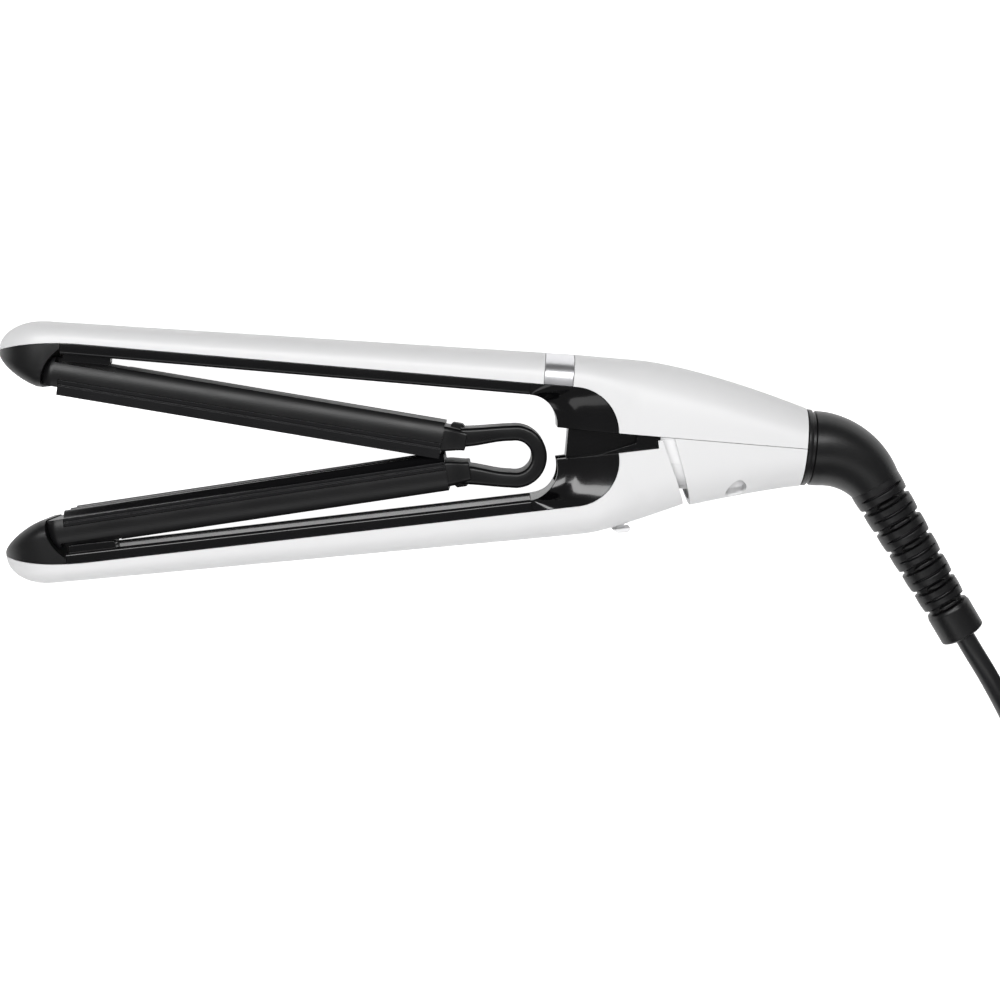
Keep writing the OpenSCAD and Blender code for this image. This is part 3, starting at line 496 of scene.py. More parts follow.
EAR_X, EAR_H, EAR_FOOT = 0.4, 1.4, 2.5
ear_outline = [(EAR_X, -EAR_H), (REAR_X - 0.25, -EAR_H), (REAR_X + 0.1, EAR_FOOT), (EAR_X, EAR_FOOT)]
piece("lower_shell_ears", *both_sides(ear_outline, ARM_W / 2 - SHELL_WALL, ARM_W / 2 - 0.05), LOWER, WHITE,
      "lower_arm", slot="white_shell", bevel=0.15)

# The tail cover's front wall lies a little behind its edge, with a lip beside each cheek of the hinge.
LIP_Z, LIP_X, LIP_FOOT, LIP_T = (12.5, 13.4), 1.0, -5.0, 0.9
LOW_LIP_YS = (-4.9, -6.5, -8.0, -9.5, -10.8, -11.6, -12.2, -12.6)
LOW_LIP_DEEP, LOW_LIP_FRONT, LOW_LIP_REAR, LOW_LIP_GAP = 12.8, 5.0, 1.0, 0.4
ARM_SQUARE = 0.7
lip = [(LIP_X, LIP_FOOT), (COVER_X + COVER_LEAN, LIP_FOOT), (COVER_X + COVER_LEAN, TAIL_H - SEAT),
       (LIP_X, TAIL_H - SEAT)]
WALL_AT, WALL_T, WALL_TOP = 0.9, 1.4, -2.0


def front_edge_x(y):
    return lerp(COVER_X, COVER_X + COVER_LEAN, (TAIL_H - SEAT - y) / (COVER_DROP - SEAT))


def low_lip(way):
    """The lip's lower part, which follows the cover's edge down inside the lower arm's side."""
    rings = []
    for y in LOW_LIP_YS:
        sine = (-y / LOW_LIP_DEEP) ** (1 / ARM_SQUARE)
        out = (ARM_W / 2 - SHELL_WALL - LOW_LIP_GAP) * (1 - sine ** 2) ** (ARM_SQUARE / 2)
        x0, x1 = front_edge_x(y) - LOW_LIP_FRONT, front_edge_x(y) + LOW_LIP_REAR
        ring = [(x0, y, out - LIP_T), (x1, y, out - LIP_T), (x1, y, out), (x0, y, out)]
        rings.append([(x, h, way * z) for x, h, z in ring])
    return solid_loft(rings)


def front_wall():
    """A leaning plate that fills the cover's opening below the hinge."""
    outer, part, half, square = cover_stations()[0]
    rim = [bow_point(outer, part, half, square, math.pi * i / 48, 0.8) for i in range(49)]
    rim = [q for q in rim if q[1] < WALL_TOP]
    top_x = front_edge_x(WALL_TOP)
    rim = [(top_x, WALL_TOP, rim[0][2])] + rim + [(top_x, WALL_TOP, rim[-1][2])]
    return solid_loft([[(x + dx, y, z) for x, y, z in rim] for dx in (WALL_AT, WALL_AT + WALL_T)])


def cover_low(x, z):
    """Height of the cover's outside below a point."""
    t = clamp((x - COVER_X - COVER_LEAN) / (TAIL_L - COVER_X - COVER_LEAN))
    drop, square = cover_form(t)
    across = min(0.999, abs(z) / upper_half(x)) ** (1 / square)
    return TAIL_H - drop * (1 - across ** 2) ** (square / 2)


def well_wall(x, z):
    """The boss around a screw's well, which ends inside the cover's wall."""
    top = TAIL_H - 0.2
    turns = [2 * math.pi * i / WELL_SIDES for i in range(WELL_SIDES)]
    rings = []
    for r, y in ((WELL_BOSS_R, WELL_FOOT), (WELL_BOSS_R, top), (SCREW_R, top), (SCREW_R, WELL_END),
                 (WELL_R, WELL_END), (WELL_R, WELL_FOOT)):
        around = [(x + r * math.cos(a), z + r * math.sin(a)) for a in turns]
        rings.append([(px, max(y, cover_low(px, pz) + WELL_INSET), pz) for px, pz in around])
    return looped(rings)


cover_inside = joined(both_sides(lip, *LIP_Z), low_lip(1), low_lip(-1), front_wall())
piece("tail_cover_inside", *cover_inside, UPPER, WHITE, "handle", slot="white_shell", bevel=0.15)
wells = [well_wall(x, z) for x, z in WELL_AT]
piece("tail_cover_wells", *joined(*wells), UPPER, WHITE, "handle", slot="white_shell")


# ---------------------------------------------------------------- noses
def nose_low(x):
    """Height of the beak's underside, which rises to the pointed tip."""
    u = clamp((x + ARM_L) / NOSE_UNDER_L)
    sine = (1 - u) ** (1 / NOSE_POINT)
    drop = math.sqrt(max(0.0, 1 - sine ** 2)) ** NOSE_POINT
    return lerp(TIP_H, NOSE_GAP, drop)


def nose_section(x):
    low, high = nose_low(x), arm_part(x) - 0.02
    half = max(0.3, arm_half(x) - SEAT)
    high = max(high, low + 0.12)
    r = min(5.0, 0.45 * (high - low), 0.45 * half)
    return rounded(half, low, high, r, min(0.25, r), steps=6)


def nose(name, place, body, node):
    """A beak, hollowed round the bar's front end."""
    xs = [d - ARM_L for d in TIP_STEPS[1:] if d - ARM_L < -NOSE_SEAM_X] + [-NOSE_SEAM_X]
    beak = piece(name, *section_loft(xs, nose_section), place, MATTE, body, [node], "matte_black", bevel=0.3,
                 sharp=50)
    cut(beak, *rod((-BAR_PIVOT_X, NOSE_BED, -ARM_W), (-BAR_PIVOT_X, NOSE_BED, ARM_W), NOSE_R, 96), place)


nose("upper_nose_skin", UPPER, "handle", "upper_nose")
nose("lower_nose_skin", LOWER, "lower_arm", "lower_nose")

# ---------------------------------------------------------------- liners
LINER_ROUND = 0.9
CHANNEL_W, CHANNEL_DEEP, CHANNEL_SIDE = 2.6, 0.5, 0.3


def liner_ring(x):
    """The liner's strip at x: a slim tray with a shallow channel along its inner face."""
    half = arm_half(x) - SEAT
    low, high = LINER_H, arm_part(x)
    outline = rounded(half, low, high, LINER_ROUND, 0.2, steps=4)
    inside = half - CHANNEL_W
    floor_end = next(i for i in range(1, len(outline))
                     if outline[i][1] <= low + 1e-6 and outline[i][0] > outline[i - 1][0] + 0.5)
    channel = [(-inside, low), (CHANNEL_SIDE - inside, low + CHANNEL_DEEP),
               (inside - CHANNEL_SIDE, low + CHANNEL_DEEP), (inside, low)]
    return outline[:floor_end] + channel + outline[floor_end:]


INNER_X = BEND_OUTER_R - BEND_X - BEND_WEB - BEND_INNER_R
INNER_Y = LINER_H - BEND_INNER_R


def inner_at(a):
    a = math.radians(a)
    return (INNER_X + BEND_INNER_R * math.cos(a), INNER_Y + BEND_INNER_R * math.sin(a))


def bend_ends(end_y):
    """Angles at which the bend's inner and outer arcs come down to a height."""
    inner = math.degrees(math.asin(max(-1, min(1, (end_y - INNER_Y) / BEND_INNER_R))))
    return inner, math.degrees(math.asin((end_y - BEND_Y) / BEND_OUTER_R))


def bend_side(end_y, steps=40):
    """The bend's outline seen along z: the inner arc forward, then the outer arc back."""
    inner_end, outer_end = bend_ends(end_y)
    points = [inner_at(lerp(90, inner_end, i / steps)) for i in range(steps + 1)]
    points += [bend_at(lerp(outer_end, 90, i / steps)) for i in range(steps + 1)]
    return points + [(INNER_X, PARTING_H)]


BLOCK_Z, BLOCK_FOOT, BLOCK_CLEAR, FLOOR_DROP = 7.0, 6.2, 0.3, 1.5
CHEEK_Z, BOSS_R = 12.2, 6.0
CHEEK_X = BEND_OUTER_R - BEND_X - BOSS_R
LUG_X, LUG_Z, LUG_FOOT, LUG_ROOT = 7.0, (9.3, 12.6), 2.0, 0.8
FAR_LUG_SHORT = 4.4


def cheek_outline():
    """A hinge cheek: a boss round the pin, with an arm to the bend."""
    points = [(CHEEK_X, EDGE_H), (CHEEK_X, 1.5 * BOSS_R)]
    for i in range(33):
        a = math.radians(96 - 264 * i / 32)
        points.append((BOSS_R * math.cos(a), BOSS_R * math.sin(a)))
    return points


def lug(side):
    """A lug that holds the bar's front pin, on one side of the liner. The one on the far side is shorter."""
    z0, z1 = LUG_Z if side > 0 else (-LUG_Z[1], -LUG_Z[0])
    low = LINER_H - LUG_FOOT
    rear = LUG_X if side > 0 else LUG_X - FAR_LUG_SHORT
    outline = [(-BAR_PIVOT_X - LUG_X, LINER_H + LUG_ROOT)]
    for cx, a0 in ((-BAR_PIVOT_X - LUG_X + 1, 180), (-BAR_PIVOT_X + rear - 1, 270)):
        for i in range(7):
            a = math.radians(a0 + 90 * i / 6)
            outline.append((cx + math.cos(a), low + 1 + math.sin(a)))
    outline.append((-BAR_PIVOT_X + rear, LINER_H + LUG_ROOT))
    return slab(outline, z0, z1)


# How far the bend's side lies back, from its inner edge at 0 to its outer edge at 1
RIM_SLOPE = ((0.0, 5.4), (0.1, 4.9), (0.2, 4.2), (0.3, 3.4), (0.38, 2.9), (0.46, 2.5), (0.56, 2.05),
             (0.66, 1.6), (0.76, 1.13), (0.86, 0.66), (0.95, 0.24), (1.0, 0.0))
STRAIGHT_SHARE, FADE_SHARE = 0.3, 0.42


def bend_loft(end_y, half, inside=None, steps=48):
    """The bend, whose sides slope in towards its inner edge.

    With inside given, it is only the part of one side beyond that height.
    """
    inner_end, outer_end = bend_ends(end_y)
    rings = []
    for i in range(steps + 1):
        t = i / steps
        inner = inner_at(lerp(90, inner_end, t))
        if t < STRAIGHT_SHARE:
            outer = (lerp(INNER_X, -BEND_X, t / STRAIGHT_SHARE), PARTING_H)
        else:
            outer = bend_at(lerp(90, outer_end, (t - STRAIGHT_SHARE) / (1 - STRAIGHT_SHARE)))
        fade = smooth(t / FADE_SHARE)
        side = [(lerp(inner[0], outer[0], u), lerp(inner[1], outer[1], u), half - back * fade)
                for u, back in RIM_SLOPE]
        if inside is None:
            rings.append(side + [(x, y, -z) for x, y, z in reversed(side)])
        else:
            rings.append(side + [(*outer, inside), (*inner, inside)])
    return solid_loft(rings)


def liner(name, place, body, node, end_y, slotted):
    """An arm's inner tray and its bend.

    The slotted one leaves room for the hinge block and has the hinge's cheeks.
    """
    strip = section_loft(spread(-NOSE_SEAM_X + SEAT, INNER_X, 4), liner_ring)
    half_bend = arm_half(-BEND_X) - SEAT
    parts = [strip]
    if slotted:
        side = bend_loft(end_y, half_bend, BLOCK_Z + BLOCK_CLEAR)
        middle = BLOCK_Z + BLOCK_CLEAR + 0.05
        parts += [side, flipped(side), slab(bend_side(BLOCK_FOOT + FLOOR_DROP), -middle, middle)]
        parts += [both_sides(cheek_outline(), BLOCK_Z + BLOCK_CLEAR, CHEEK_Z)]
    else:
        parts.append(bend_loft(end_y, half_bend))
    parts += [lug(1), lug(-1)]
    piece(name, *joined(*parts), place, GLOSS, body, [node], "gloss_black", bevel=0.35, sharp=40, segments=3)


liner("upper_liner_skin", UPPER, "handle", "upper_liner", TAIL_H, False)
liner("lower_liner_skin", LOWER, "lower_arm", "lower_liner", EDGE_H, True)

# ---------------------------------------------------------------- crimp bars
BAR_END = BAR_L - BAR_PIVOT_X
FRONT_R = NOSE_R - 1.0


def bar_top(x):
    if x >= -BAR_PIVOT_X:
        return BAR_H
    return min(BAR_H, NOSE_BED + math.sqrt(max(0.0, FRONT_R ** 2 - (x + BAR_PIVOT_X) ** 2)))


BULGE_A = math.radians(62)


def bar_half(y):
    """Half width of the bar at a height: its sides bulge in an arc."""
    a = math.asin(max(-1.0, min(1.0, 2 * y / BAR_H - 1)) * math.sin(BULGE_A))
    return BAR_W / 2 - BAR_BULGE * (1 - math.cos(a)) / (1 - math.cos(BULGE_A))


def bar_section(x):
    low = CHIN_H if x < -BAR_PIVOT_X - PLATE_FRONT - SEAT else PLATE_T + SEAT
    high = max(bar_top(x), low + 0.15)
    tuck = 1.2 * max(0.0, 1 - (x + BAR_PIVOT_X + FRONT_R) / 2.0) if x < -BAR_PIVOT_X - FRONT_R + 2 else 0.0
    heights = [lerp(low, high, i / 14) for i in range(15)]
    right_side = [(bar_half(y) - tuck, y) for y in heights]
    return right_side + [(-z, y) for z, y in reversed(right_side)]


def wave(z, way_up):
    return way_up * WAVE_H / 2 * math.cos(2 * math.pi * WAVE_N * z / BAR_W) + 0.15


def plate_section(way_up):
    """The plate's outline: waves in its face, a groove and a carrier edge along its sides."""
    half = BAR_W / 2
    across = [lerp(-half, half, i / 96) for i in range(97)]
    return [(z, wave(z, way_up)) for z in across] + [
        (half, 1.9), (half - 0.35, 2.0), (half - 0.35, 2.45), (half, 2.55), (half, PLATE_T),
        (-half, PLATE_T), (-half, 2.55), (0.35 - half, 2.45), (0.35 - half, 2.0), (-half, 1.9),
    ]


BAR_PIN_R, BAR_PIN_GAP, EAR_WALL, EAR_SIDE = 1.2, 0.3, 1.2, 0.6


def ear(hole):
    """The bar's ear round the front pin, between the liner's lugs."""
    r = BAR_PIN_R + BAR_PIN_GAP + hole / 2 + EAR_WALL
    outline = [(-BAR_PIVOT_X + r * math.cos(math.radians(a)), BAR_PIVOT_H + r * math.sin(math.radians(a)))
               for a in range(0, 181, 12)]
    outline += [(-BAR_PIVOT_X - r, BAR_H - 1), (-BAR_PIVOT_X + r, BAR_H - 1)]
    return slab(outline, EAR_SIDE - LUG_Z[0], LUG_Z[0] - EAR_SIDE)


def socket_section(x):
    """The socket narrows from the bar's end to the strap."""
    t = smooth(clamp((x - BAR_END) / SOCKET_L))
    low, high = lerp(SOCKET_BASE, SOCKET_BASE + 1.1, t), lerp(SOCKET_H + 0.9, SOCKET_H + 0.5, t)
    return rounded(lerp(BAR_W / 2 - 0.7, STRAP_W / 2 + 0.3, t), low, high, 0.8, 1.4)


NOTCH_ROUND, NOTCH_BELOW, NOTCH_SIDE, NOTCH_ABOVE = 1.9, 1.2, 0.3, 4


def crimp_bar(side, place, body, way_up, hole):
    """A bar with its plate, its ear and its socket for the strap."""
    xs = [-BAR_PIVOT_X - FRONT_R + d for d in (0.02, 0.15, 0.4, 0.8, 1.4, 2.2, 3.2, 4.4, 5.8, 7.4, 9.2)]
    front = -BAR_PIVOT_X - PLATE_FRONT
    xs = sorted(xs + [front - SEAT - 0.01, front - SEAT]) + spread(-BAR_PIVOT_X, BAR_END, 8)
    housing = piece(f"{side}_bar_skin", *section_loft(xs, bar_section), place, BAR_BLACK, body,
                    [f"{side}_bar"], "matte_black", bevel=0.35, sharp=40, segments=3)
    notch_x, notch_y = LUG_X + NOTCH_ROUND, LINER_H - LUG_FOOT - NOTCH_BELOW
    outline = [(-BAR_PIVOT_X - notch_x, notch_y), (-BAR_PIVOT_X + notch_x, notch_y),
               (-BAR_PIVOT_X + notch_x, BAR_H + NOTCH_ABOVE), (-BAR_PIVOT_X - notch_x, BAR_H + NOTCH_ABOVE)]
    for z0, z1 in ((LUG_Z[0] - NOTCH_SIDE, BAR_W), (-BAR_W, NOTCH_SIDE - LUG_Z[0])):
        cut(housing, *slab(outline, z0, z1), place)
    piece(f"{side}_bar_ear", *ear(hole), place, BAR_BLACK, body, slot="matte_black", bevel=0.2)
    section = plate_section(way_up)
    plate = section_loft(spread(front, BAR_END, 20), lambda x: section)
    piece(f"{side}_plate_skin", *plate, place, PLATE, body, [f"{side}_plate"], "plate_coating", bevel=0.15,
          sharp=50)
    socket = section_loft(spread(BAR_END - 0.3, BAR_END + SOCKET_L, 1.2), socket_section)
    bump = [(BAR_END + 0.2 * SOCKET_L, SOCKET_H - 0.6), (BAR_END + 0.9 * SOCKET_L, SOCKET_H - 0.6),
            (BAR_END + 0.84 * SOCKET_L, SOCKET_H + 1.4), (BAR_END + 0.72 * SOCKET_L, SOCKET_H + 2.1),
            (BAR_END + 0.32 * SOCKET_L, SOCKET_H + 2.1), (BAR_END + 0.24 * SOCKET_L, SOCKET_H + 1.4)]
    piece(f"{side}_socket_skin", *joined(socket, slab(bump, -4, 4)), place, BAR_BLACK, body,
          [f"{side}_socket"], "matte_black", bevel=0.3, sharp=40)


crimp_bar("upper", UPPER_BAR, "upper_crimp_bar", 1, 0.0)
crimp_bar("lower", LOWER_BAR, "lower_crimp_bar", -1, BAR_SLOT_L)

# ---------------------------------------------------------------- loop strap
def bar_end_at(place):
    return place @ Vector((BAR_END, 0, 0))


upper_end, lower_end = bar_end_at(UPPER_BAR), bar_end_at(LOWER_BAR)
MEET = (upper_end + lower_end) / 2
STRAP_A = (LOWER_TILT - UPPER_TILT) / 2
STRAP_PLACE = Matrix.Translation(MEET) @ turn_z(STRAP_A) @ TO_METRES
LEG_A = HALF_OPEN + (UPPER_TILT + LOWER_TILT) / 2


def strap_line(steps=72):
    """Middle line and thickness of the strap, from the upper socket round the bend to the lower socket."""
    r = LOOP_H / 2 - STRAP_T / 2
    leg = math.radians(LEG_A)
    start = ((SOCKET_L - 1.5) * math.cos(leg), (SOCKET_H + SOCKET_BASE) / 2 + 0.9)
    out = []
    for i in range(steps + 1):
        u = lerp(-1, 1, i / steps)
        side = -1 if u > 0 else 1
        w = abs(u)
        if w > 0.55:
            t = (1 - w) / 0.45
            bend_start = (LOOP_L + r * math.cos(math.radians(100)), r * math.sin(math.radians(100)))
            x = lerp(start[0], bend_start[0], t)
            y = lerp(start[1], bend_start[1], smooth(t))
            thick = lerp(SOCKET_H - SOCKET_BASE - 0.9, STRAP_T, smooth(t * 1.15))
            slope = (bend_start[1] - start[1]) * 6 * t * (1 - t) / (bend_start[0] - start[0])
            n = Vector((-slope, 1, 0)).normalized()
        else:
            a = math.radians(100 * w / 0.55)
            x, y = LOOP_L + r * math.cos(a), r * math.sin(a)
            thick = STRAP_T
            n = Vector((math.cos(a), math.sin(a), 0))
        out.append((Vector((x, side * y, 0)), Vector((n.x, side * n.y, 0)), thick))
    return out


def strap_rings():
    rings = []
    for at, out, thick in strap_line():
        ring = []
        for z, h in rounded(STRAP_W / 2, -thick / 2, thick / 2, 1.1, 1.1, steps=4):
            q = at + h * out
            ring.append((q.x, q.y, z))
        rings.append(ring)
    return rings


strap = piece("loop_strap_skin", *solid_loft(strap_rings()), STRAP_PLACE, STRAP, None, slot="strap_rubber",
              sharp=50)
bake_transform(strap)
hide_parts("loop_strap")

# ---------------------------------------------------------------- hinge block and lock
BLOCK_REACH, SPRING_Z = 26.0, 2.6
block_top = TAIL_H - SEAT
rise_a = math.degrees(math.asin(block_top / BOSS_R))
block_outline = [(-BLOCK_REACH, block_top), (-BLOCK_REACH, -BLOCK_FOOT), (-BOSS_R, -0.75 * BOSS_R)]
block_outline += arc(BOSS_R, 217, 360) + arc(BOSS_R, rise_a, 180 - rise_a)
block_middle = [(-BLOCK_REACH, block_top), (-BLOCK_REACH, -BLOCK_FOOT), (-2 * BOSS_R, -5.3),
                (-2 * BOSS_R, block_top)]
block = joined(both_sides(block_outline, SPRING_Z, BLOCK_Z), slab(block_middle, -2.7, 2.7))
piece("hinge_block_skin", *block, UPPER, GLOSS, "handle", ["hinge_block"], "gloss_black", bevel=0.3)

LOCK_X, LOCK_L, LOCK_W, LOCK_H, LOCK_GAP = 12.6, 5.6, 11.0, 1.3, 0.9
LOCK_DROP, LOCK_FOOT, LOCK_STEM, SLOT_W = 2.2, 1.5, 2.4, 4.0
knob_y = lower_top(-LOCK_X) + LOCK_GAP
knob_top = knob_y + LOCK_H
foot_y = lower_top(-LOCK_X) - SHELL_WALL - LOCK_DROP
lock_front, lock_rear = -LOCK_X - LOCK_L / 2, -LOCK_X + LOCK_L / 2
stem_front, stem_rear = -LOCK_X - LOCK_STEM / 2, -LOCK_X + LOCK_STEM / 2
knob = [(lock_front, knob_y), (lock_rear, knob_y), (lock_rear - 0.5, knob_top), (lock_front + 1.6, knob_top)]
stem = [(stem_front, foot_y), (stem_rear, foot_y), (stem_rear, knob_y + 0.1), (stem_front, knob_y + 0.1)]
foot = [(lock_front, foot_y - LOCK_FOOT), (lock_rear, foot_y - LOCK_FOOT), (lock_rear, foot_y),
        (lock_front, foot_y)]
lock = joined(slab(knob, -LOCK_W / 2, LOCK_W / 2), slab(stem, 0.3 - SLOT_W / 2, SLOT_W / 2 - 0.3),
              slab(foot, -LOCK_W / 2, LOCK_W / 2))
piece("lock_slider_skin", *lock, LOWER, WHITE, "lock", ["lock_slider"], "white_shell", bevel=0.3, segments=3)

# ---------------------------------------------------------------- swivelling boot
BOOT_D, RIB_START_D, RIB_END_D, RIB_PITCH, RIB_N, RIB_DEPTH = 22.9, 15.8, 12.9, 7.2, 6, 1.1
ELBOW_LEAD, ELBOW_R, ELBOW_TURN = 5.0, 22.0, 54.0
COLLAR_L, SOCKET_R, BUSH_L = 2.6, 6.0, 8.0
RIB_L, CAP_L = RIB_N * RIB_PITCH, 10.0


def round_ring(at, heading_deg, radius, sides=64):
    """A ring of points round a way in the XY plane; radius is a number or a function of the angle."""
    h = math.radians(heading_deg)
    ring = []
    for i in range(sides):
        a = 2 * math.pi * i / sides
        r = radius(a) if callable(radius) else radius
        off = r * math.cos(a)
        ring.append((at[0] - off * math.sin(h), at[1] + off * math.cos(h), r * math.sin(a)))
    return ring


def turned_solid(profile, at, heading_deg, sides=64):
    """A closed solid of revolution from a list of (distance along the axis, radius)."""
    h = math.radians(heading_deg)
    return solid_loft([round_ring((at[0] + d * math.cos(h), at[1] + d * math.sin(h)), heading_deg, r, sides)
                       for d, r in profile])


BOOT_R = BOOT_D / 2
collar = [(-BUSH_L - 1.7, SOCKET_R + 1.5), (-BUSH_L - 0.3, SOCKET_R + 1.5), (-BUSH_L - 0.3, SOCKET_R - 0.05),
          (0.3, SOCKET_R - 0.05), (0.3, BOOT_R - 0.25), (0.5, BOOT_R), (1.6, BOOT_R), (1.8, BOOT_R - 0.2),
          (1.85, BOOT_R - 0.8), (COLLAR_L, BOOT_R - 0.8)]
piece("swivel_collar_skin", *turned_solid(collar, (TAIL_L, TAIL_H), 0), UPPER, BOOT, "cord_swivel",
      ["swivel_collar"], "boot_rubber", sharp=50)

boot_from = (TAIL_L + COLLAR_L, TAIL_H)


def elbow_at(a):
    a = math.radians(a)
    lead = ELBOW_LEAD - COLLAR_L
    return (boot_from[0] + lead + ELBOW_R * math.sin(a), boot_from[1] - ELBOW_R * (1 - math.cos(a)))


def elbow_radius(t):
    return lerp(BOOT_D - 0.6, RIB_START_D, t ** 1.35) / 2


elbow_rings = [round_ring(boot_from, 0, elbow_radius(0) - 0.5),
               round_ring((boot_from[0] + 0.4, TAIL_H), 0, elbow_radius(0))]
for i in range(37):
    t = i / 36
    elbow_rings.append(round_ring(elbow_at(ELBOW_TURN * t), -ELBOW_TURN * t, elbow_radius(t)))
piece("boot_elbow_skin", *solid_loft(elbow_rings), UPPER, BOOT, "cord_swivel", ["boot_elbow"], "boot_rubber",
      sharp=50)

boot_end = elbow_at(ELBOW_TURN)
boot_a = math.radians(ELBOW_TURN)


def relief_radius(d):
    """The sleeve's radius round its axis.

    Behind each rib is a groove, wider at the sides that show, and each rib has a slim window.
    """
    base = lerp(RIB_START_D, RIB_END_D, min(1.0, d / RIB_L)) / 2
    if d > RIB_L:
        u = (d - RIB_L) / CAP_L
        return lambda a: base + 0.35 * smooth(u * 8) - 1.0 * max(0.0, (u - 0.92) / 0.08) ** 2
    along = d % RIB_PITCH
    reach = lerp(0.6, 1.0, clamp(d / 14))

    def radius(a):
        front = abs(math.sin(a))
        off = abs(along - 6.2)
        wide = 0.95 + 0.55 * reach * smooth((front - 0.35) / 0.6)
        deep = RIB_DEPTH * (1 + 0.7 * smooth((front - 0.3) / 0.5))
        cutting = deep * smooth((wide - off) / 0.45)
        tongue = 0.75 * deep * smooth((0.75 * smooth((front - 0.72) / 0.25) - off) / 0.3)
        lens = math.sqrt(max(0.0, 1 - ((1 - front) / 0.45) ** 2))
        window = 0.8 * smooth((0.5 * lens - abs(along - 2.5)) / 0.3)
        swell = 0.12 * math.sin(math.pi * clamp(along / 5.2))
        return base + swell - max(cutting - tongue, window)
    return radius


relief_rings = []
for i in range(241):
    d = lerp(0.05, RIB_L + CAP_L, i / 240)
    at = (boot_end[0] + d * math.cos(boot_a), boot_end[1] - d * math.sin(boot_a))
    relief_rings.append(round_ring(at, -ELBOW_TURN, relief_radius(d), 96))
piece("strain_relief_skin", *solid_loft(relief_rings), UPPER, BOOT, "cord_swivel", ["strain_relief"],
      "boot_rubber", sharp=60)

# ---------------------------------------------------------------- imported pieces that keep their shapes
NODE_LOOKS = {
    "tail_screws": STEEL, "hinge_pin": STEEL, "arm_spring": STEEL, "upper_bar_pin": STEEL,
    "lower_bar_pin": STEEL, "circuit_board": BOARD, "swivel_bush": GLOSS, "upper_heater": HEATER,
    "lower_heater": HEATER, "plug_pins": STEEL,
}
for node_name, look in NODE_LOOKS.items():
    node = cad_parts[node_name]
    node.data.materials.clear()
    node.data.materials.append(look)

# ---------------------------------------------------------------- cord, coil tie and plug
CORD_R = 3.0
TIE_T, TIE_W = 0.8, 12.0
CORD_Z = CORD_R + TIE_T + 0.2
COIL_R, COIL_PITCH, COIL_TURNS, COIL_START = 24.2, 6.6, 3.75, 210.0
LAYER_H = 6.5
boot_way = Vector((math.cos(boot_a), -math.sin(boot_a), 0))
exit_mm = UPPER @ (Vector((*boot_end, 0)) + (RIB_L + CAP_L) * boot_way) / MM
cord_way = turn_z(-HALF_OPEN) @ boot_way
COIL_CENTRE = (exit_mm.x + 70.7, exit_mm.y - 23.9)


def coil_point(u):
    a = math.radians(COIL_START + 360 * u)
    r = COIL_R + COIL_PITCH * abs(COIL_TURNS - u)
    return (COIL_CENTRE[0] + r * math.cos(a), COIL_CENTRE[1] + r * math.sin(a),
            CORD_Z + LAYER_H * clamp(2 * (u - COIL_TURNS) + 0.5))


def coil_heading(u):
    a = math.radians(COIL_START + 360 * u)
    return Vector((-math.sin(a), math.cos(a), 0))


def off_exit(points):
    return [(exit_mm.x + x, exit_mm.y + y, z) for x, y, z in points]


coil = [coil_point(i / 24) for i in range(int(48 * COIL_TURNS) + 1)]
coil_in = Vector(coil[0]) - 2 * CORD_R * coil_heading(0)
coil_out = Vector(coil[-1]) + 2 * CORD_R * coil_heading(2 * COIL_TURNS)
LEAD = [tuple(exit_mm), tuple(exit_mm + 2 * CORD_R * cord_way)] + off_exit(
    [(7.3, -12.1, 15.2), (11.7, -19.6, 13.2), (15.9, -26.9, 10.2), (19.5, -33.1, 7.2), (22.5, -38.3, 4.8)]
) + [tuple(coil_in)]
TAIL = [tuple(coil_out)] + off_exit(
    [(108.3, 8.9, 10.2), (106.3, 12.4, 9.6), (104, 16.4, 8.6), (101.7, 20.4, 7.7), (99.7, 23.8, 7.2),
     (98.1, 26.6, 7)])
route = LEAD + coil + TAIL

tie_in, tie_out = COIL_R - CORD_R - 1, COIL_R + COIL_PITCH * COIL_TURNS + CORD_R + 1
tie_h = 2 * CORD_Z + LAYER_H


def tie_band():
    """A flat strap round the coil's bundle, with rounded corners."""
    middle = (tie_in + tie_out) / 2
    half = (tie_out - tie_in) / 2
    outer = rounded(half + TIE_T, 0, tie_h, 3.0, 3.0, steps=8)
    inner = rounded(half, TIE_T, tie_h - TIE_T, 2.4, 2.4, steps=8)
    rows = [(outer, -TIE_W / 2), (outer, TIE_W / 2), (inner, TIE_W / 2), (inner, -TIE_W / 2)]
    return looped([[(middle + r, w, h) for r, h in ring] for ring, w in rows])


TIE_PLACE = TO_METRES @ Matrix.Translation((*COIL_CENTRE, 0)) @ turn_z(95)
tie = piece("coil_tie_skin", *tie_band(), TIE_PLACE, TIE, "cord_swivel", ["coil_tie"], "tie", bevel=0.15)

PLUG_AT = Vector((exit_mm.x + 98.1, exit_mm.y + 26.6, 7))
PLUG_A, PLUG_L, PLUG_W, PLUG_T = 120, 35.0, 35.0, 13.6


def plug_section(x):
    wide = lerp(4.4, PLUG_W / 2 - 0.1, smooth((x - 3) / 24))
    thick = lerp(4.4, PLUG_T / 2, smooth(x / 14))
    if x > PLUG_L - 1.5:
        wide -= 0.8 * (x - PLUG_L + 1.5) / 1.5
        thick -= 0.6 * (x - PLUG_L + 1.5) / 1.5
    if 6 < x < 14:
        wide -= 0.5 * math.sin(math.pi * (x - 6) * 0.75) ** 2
        thick -= 0.5 * math.sin(math.pi * (x - 6) * 0.75) ** 2
    r = min(thick, wide) * 0.92
    return rounded(thick, -wide, wide, r, r, steps=8)


PLUG_PLACE = TO_METRES @ Matrix.Translation(PLUG_AT) @ turn_z(PLUG_A)
plug = piece("plug_body_skin", *section_loft(spread(0.05, PLUG_L, 0.5), plug_section), PLUG_PLACE, BOOT,
             "cord_swivel", ["plug_body"], "boot_rubber", sharp=50)


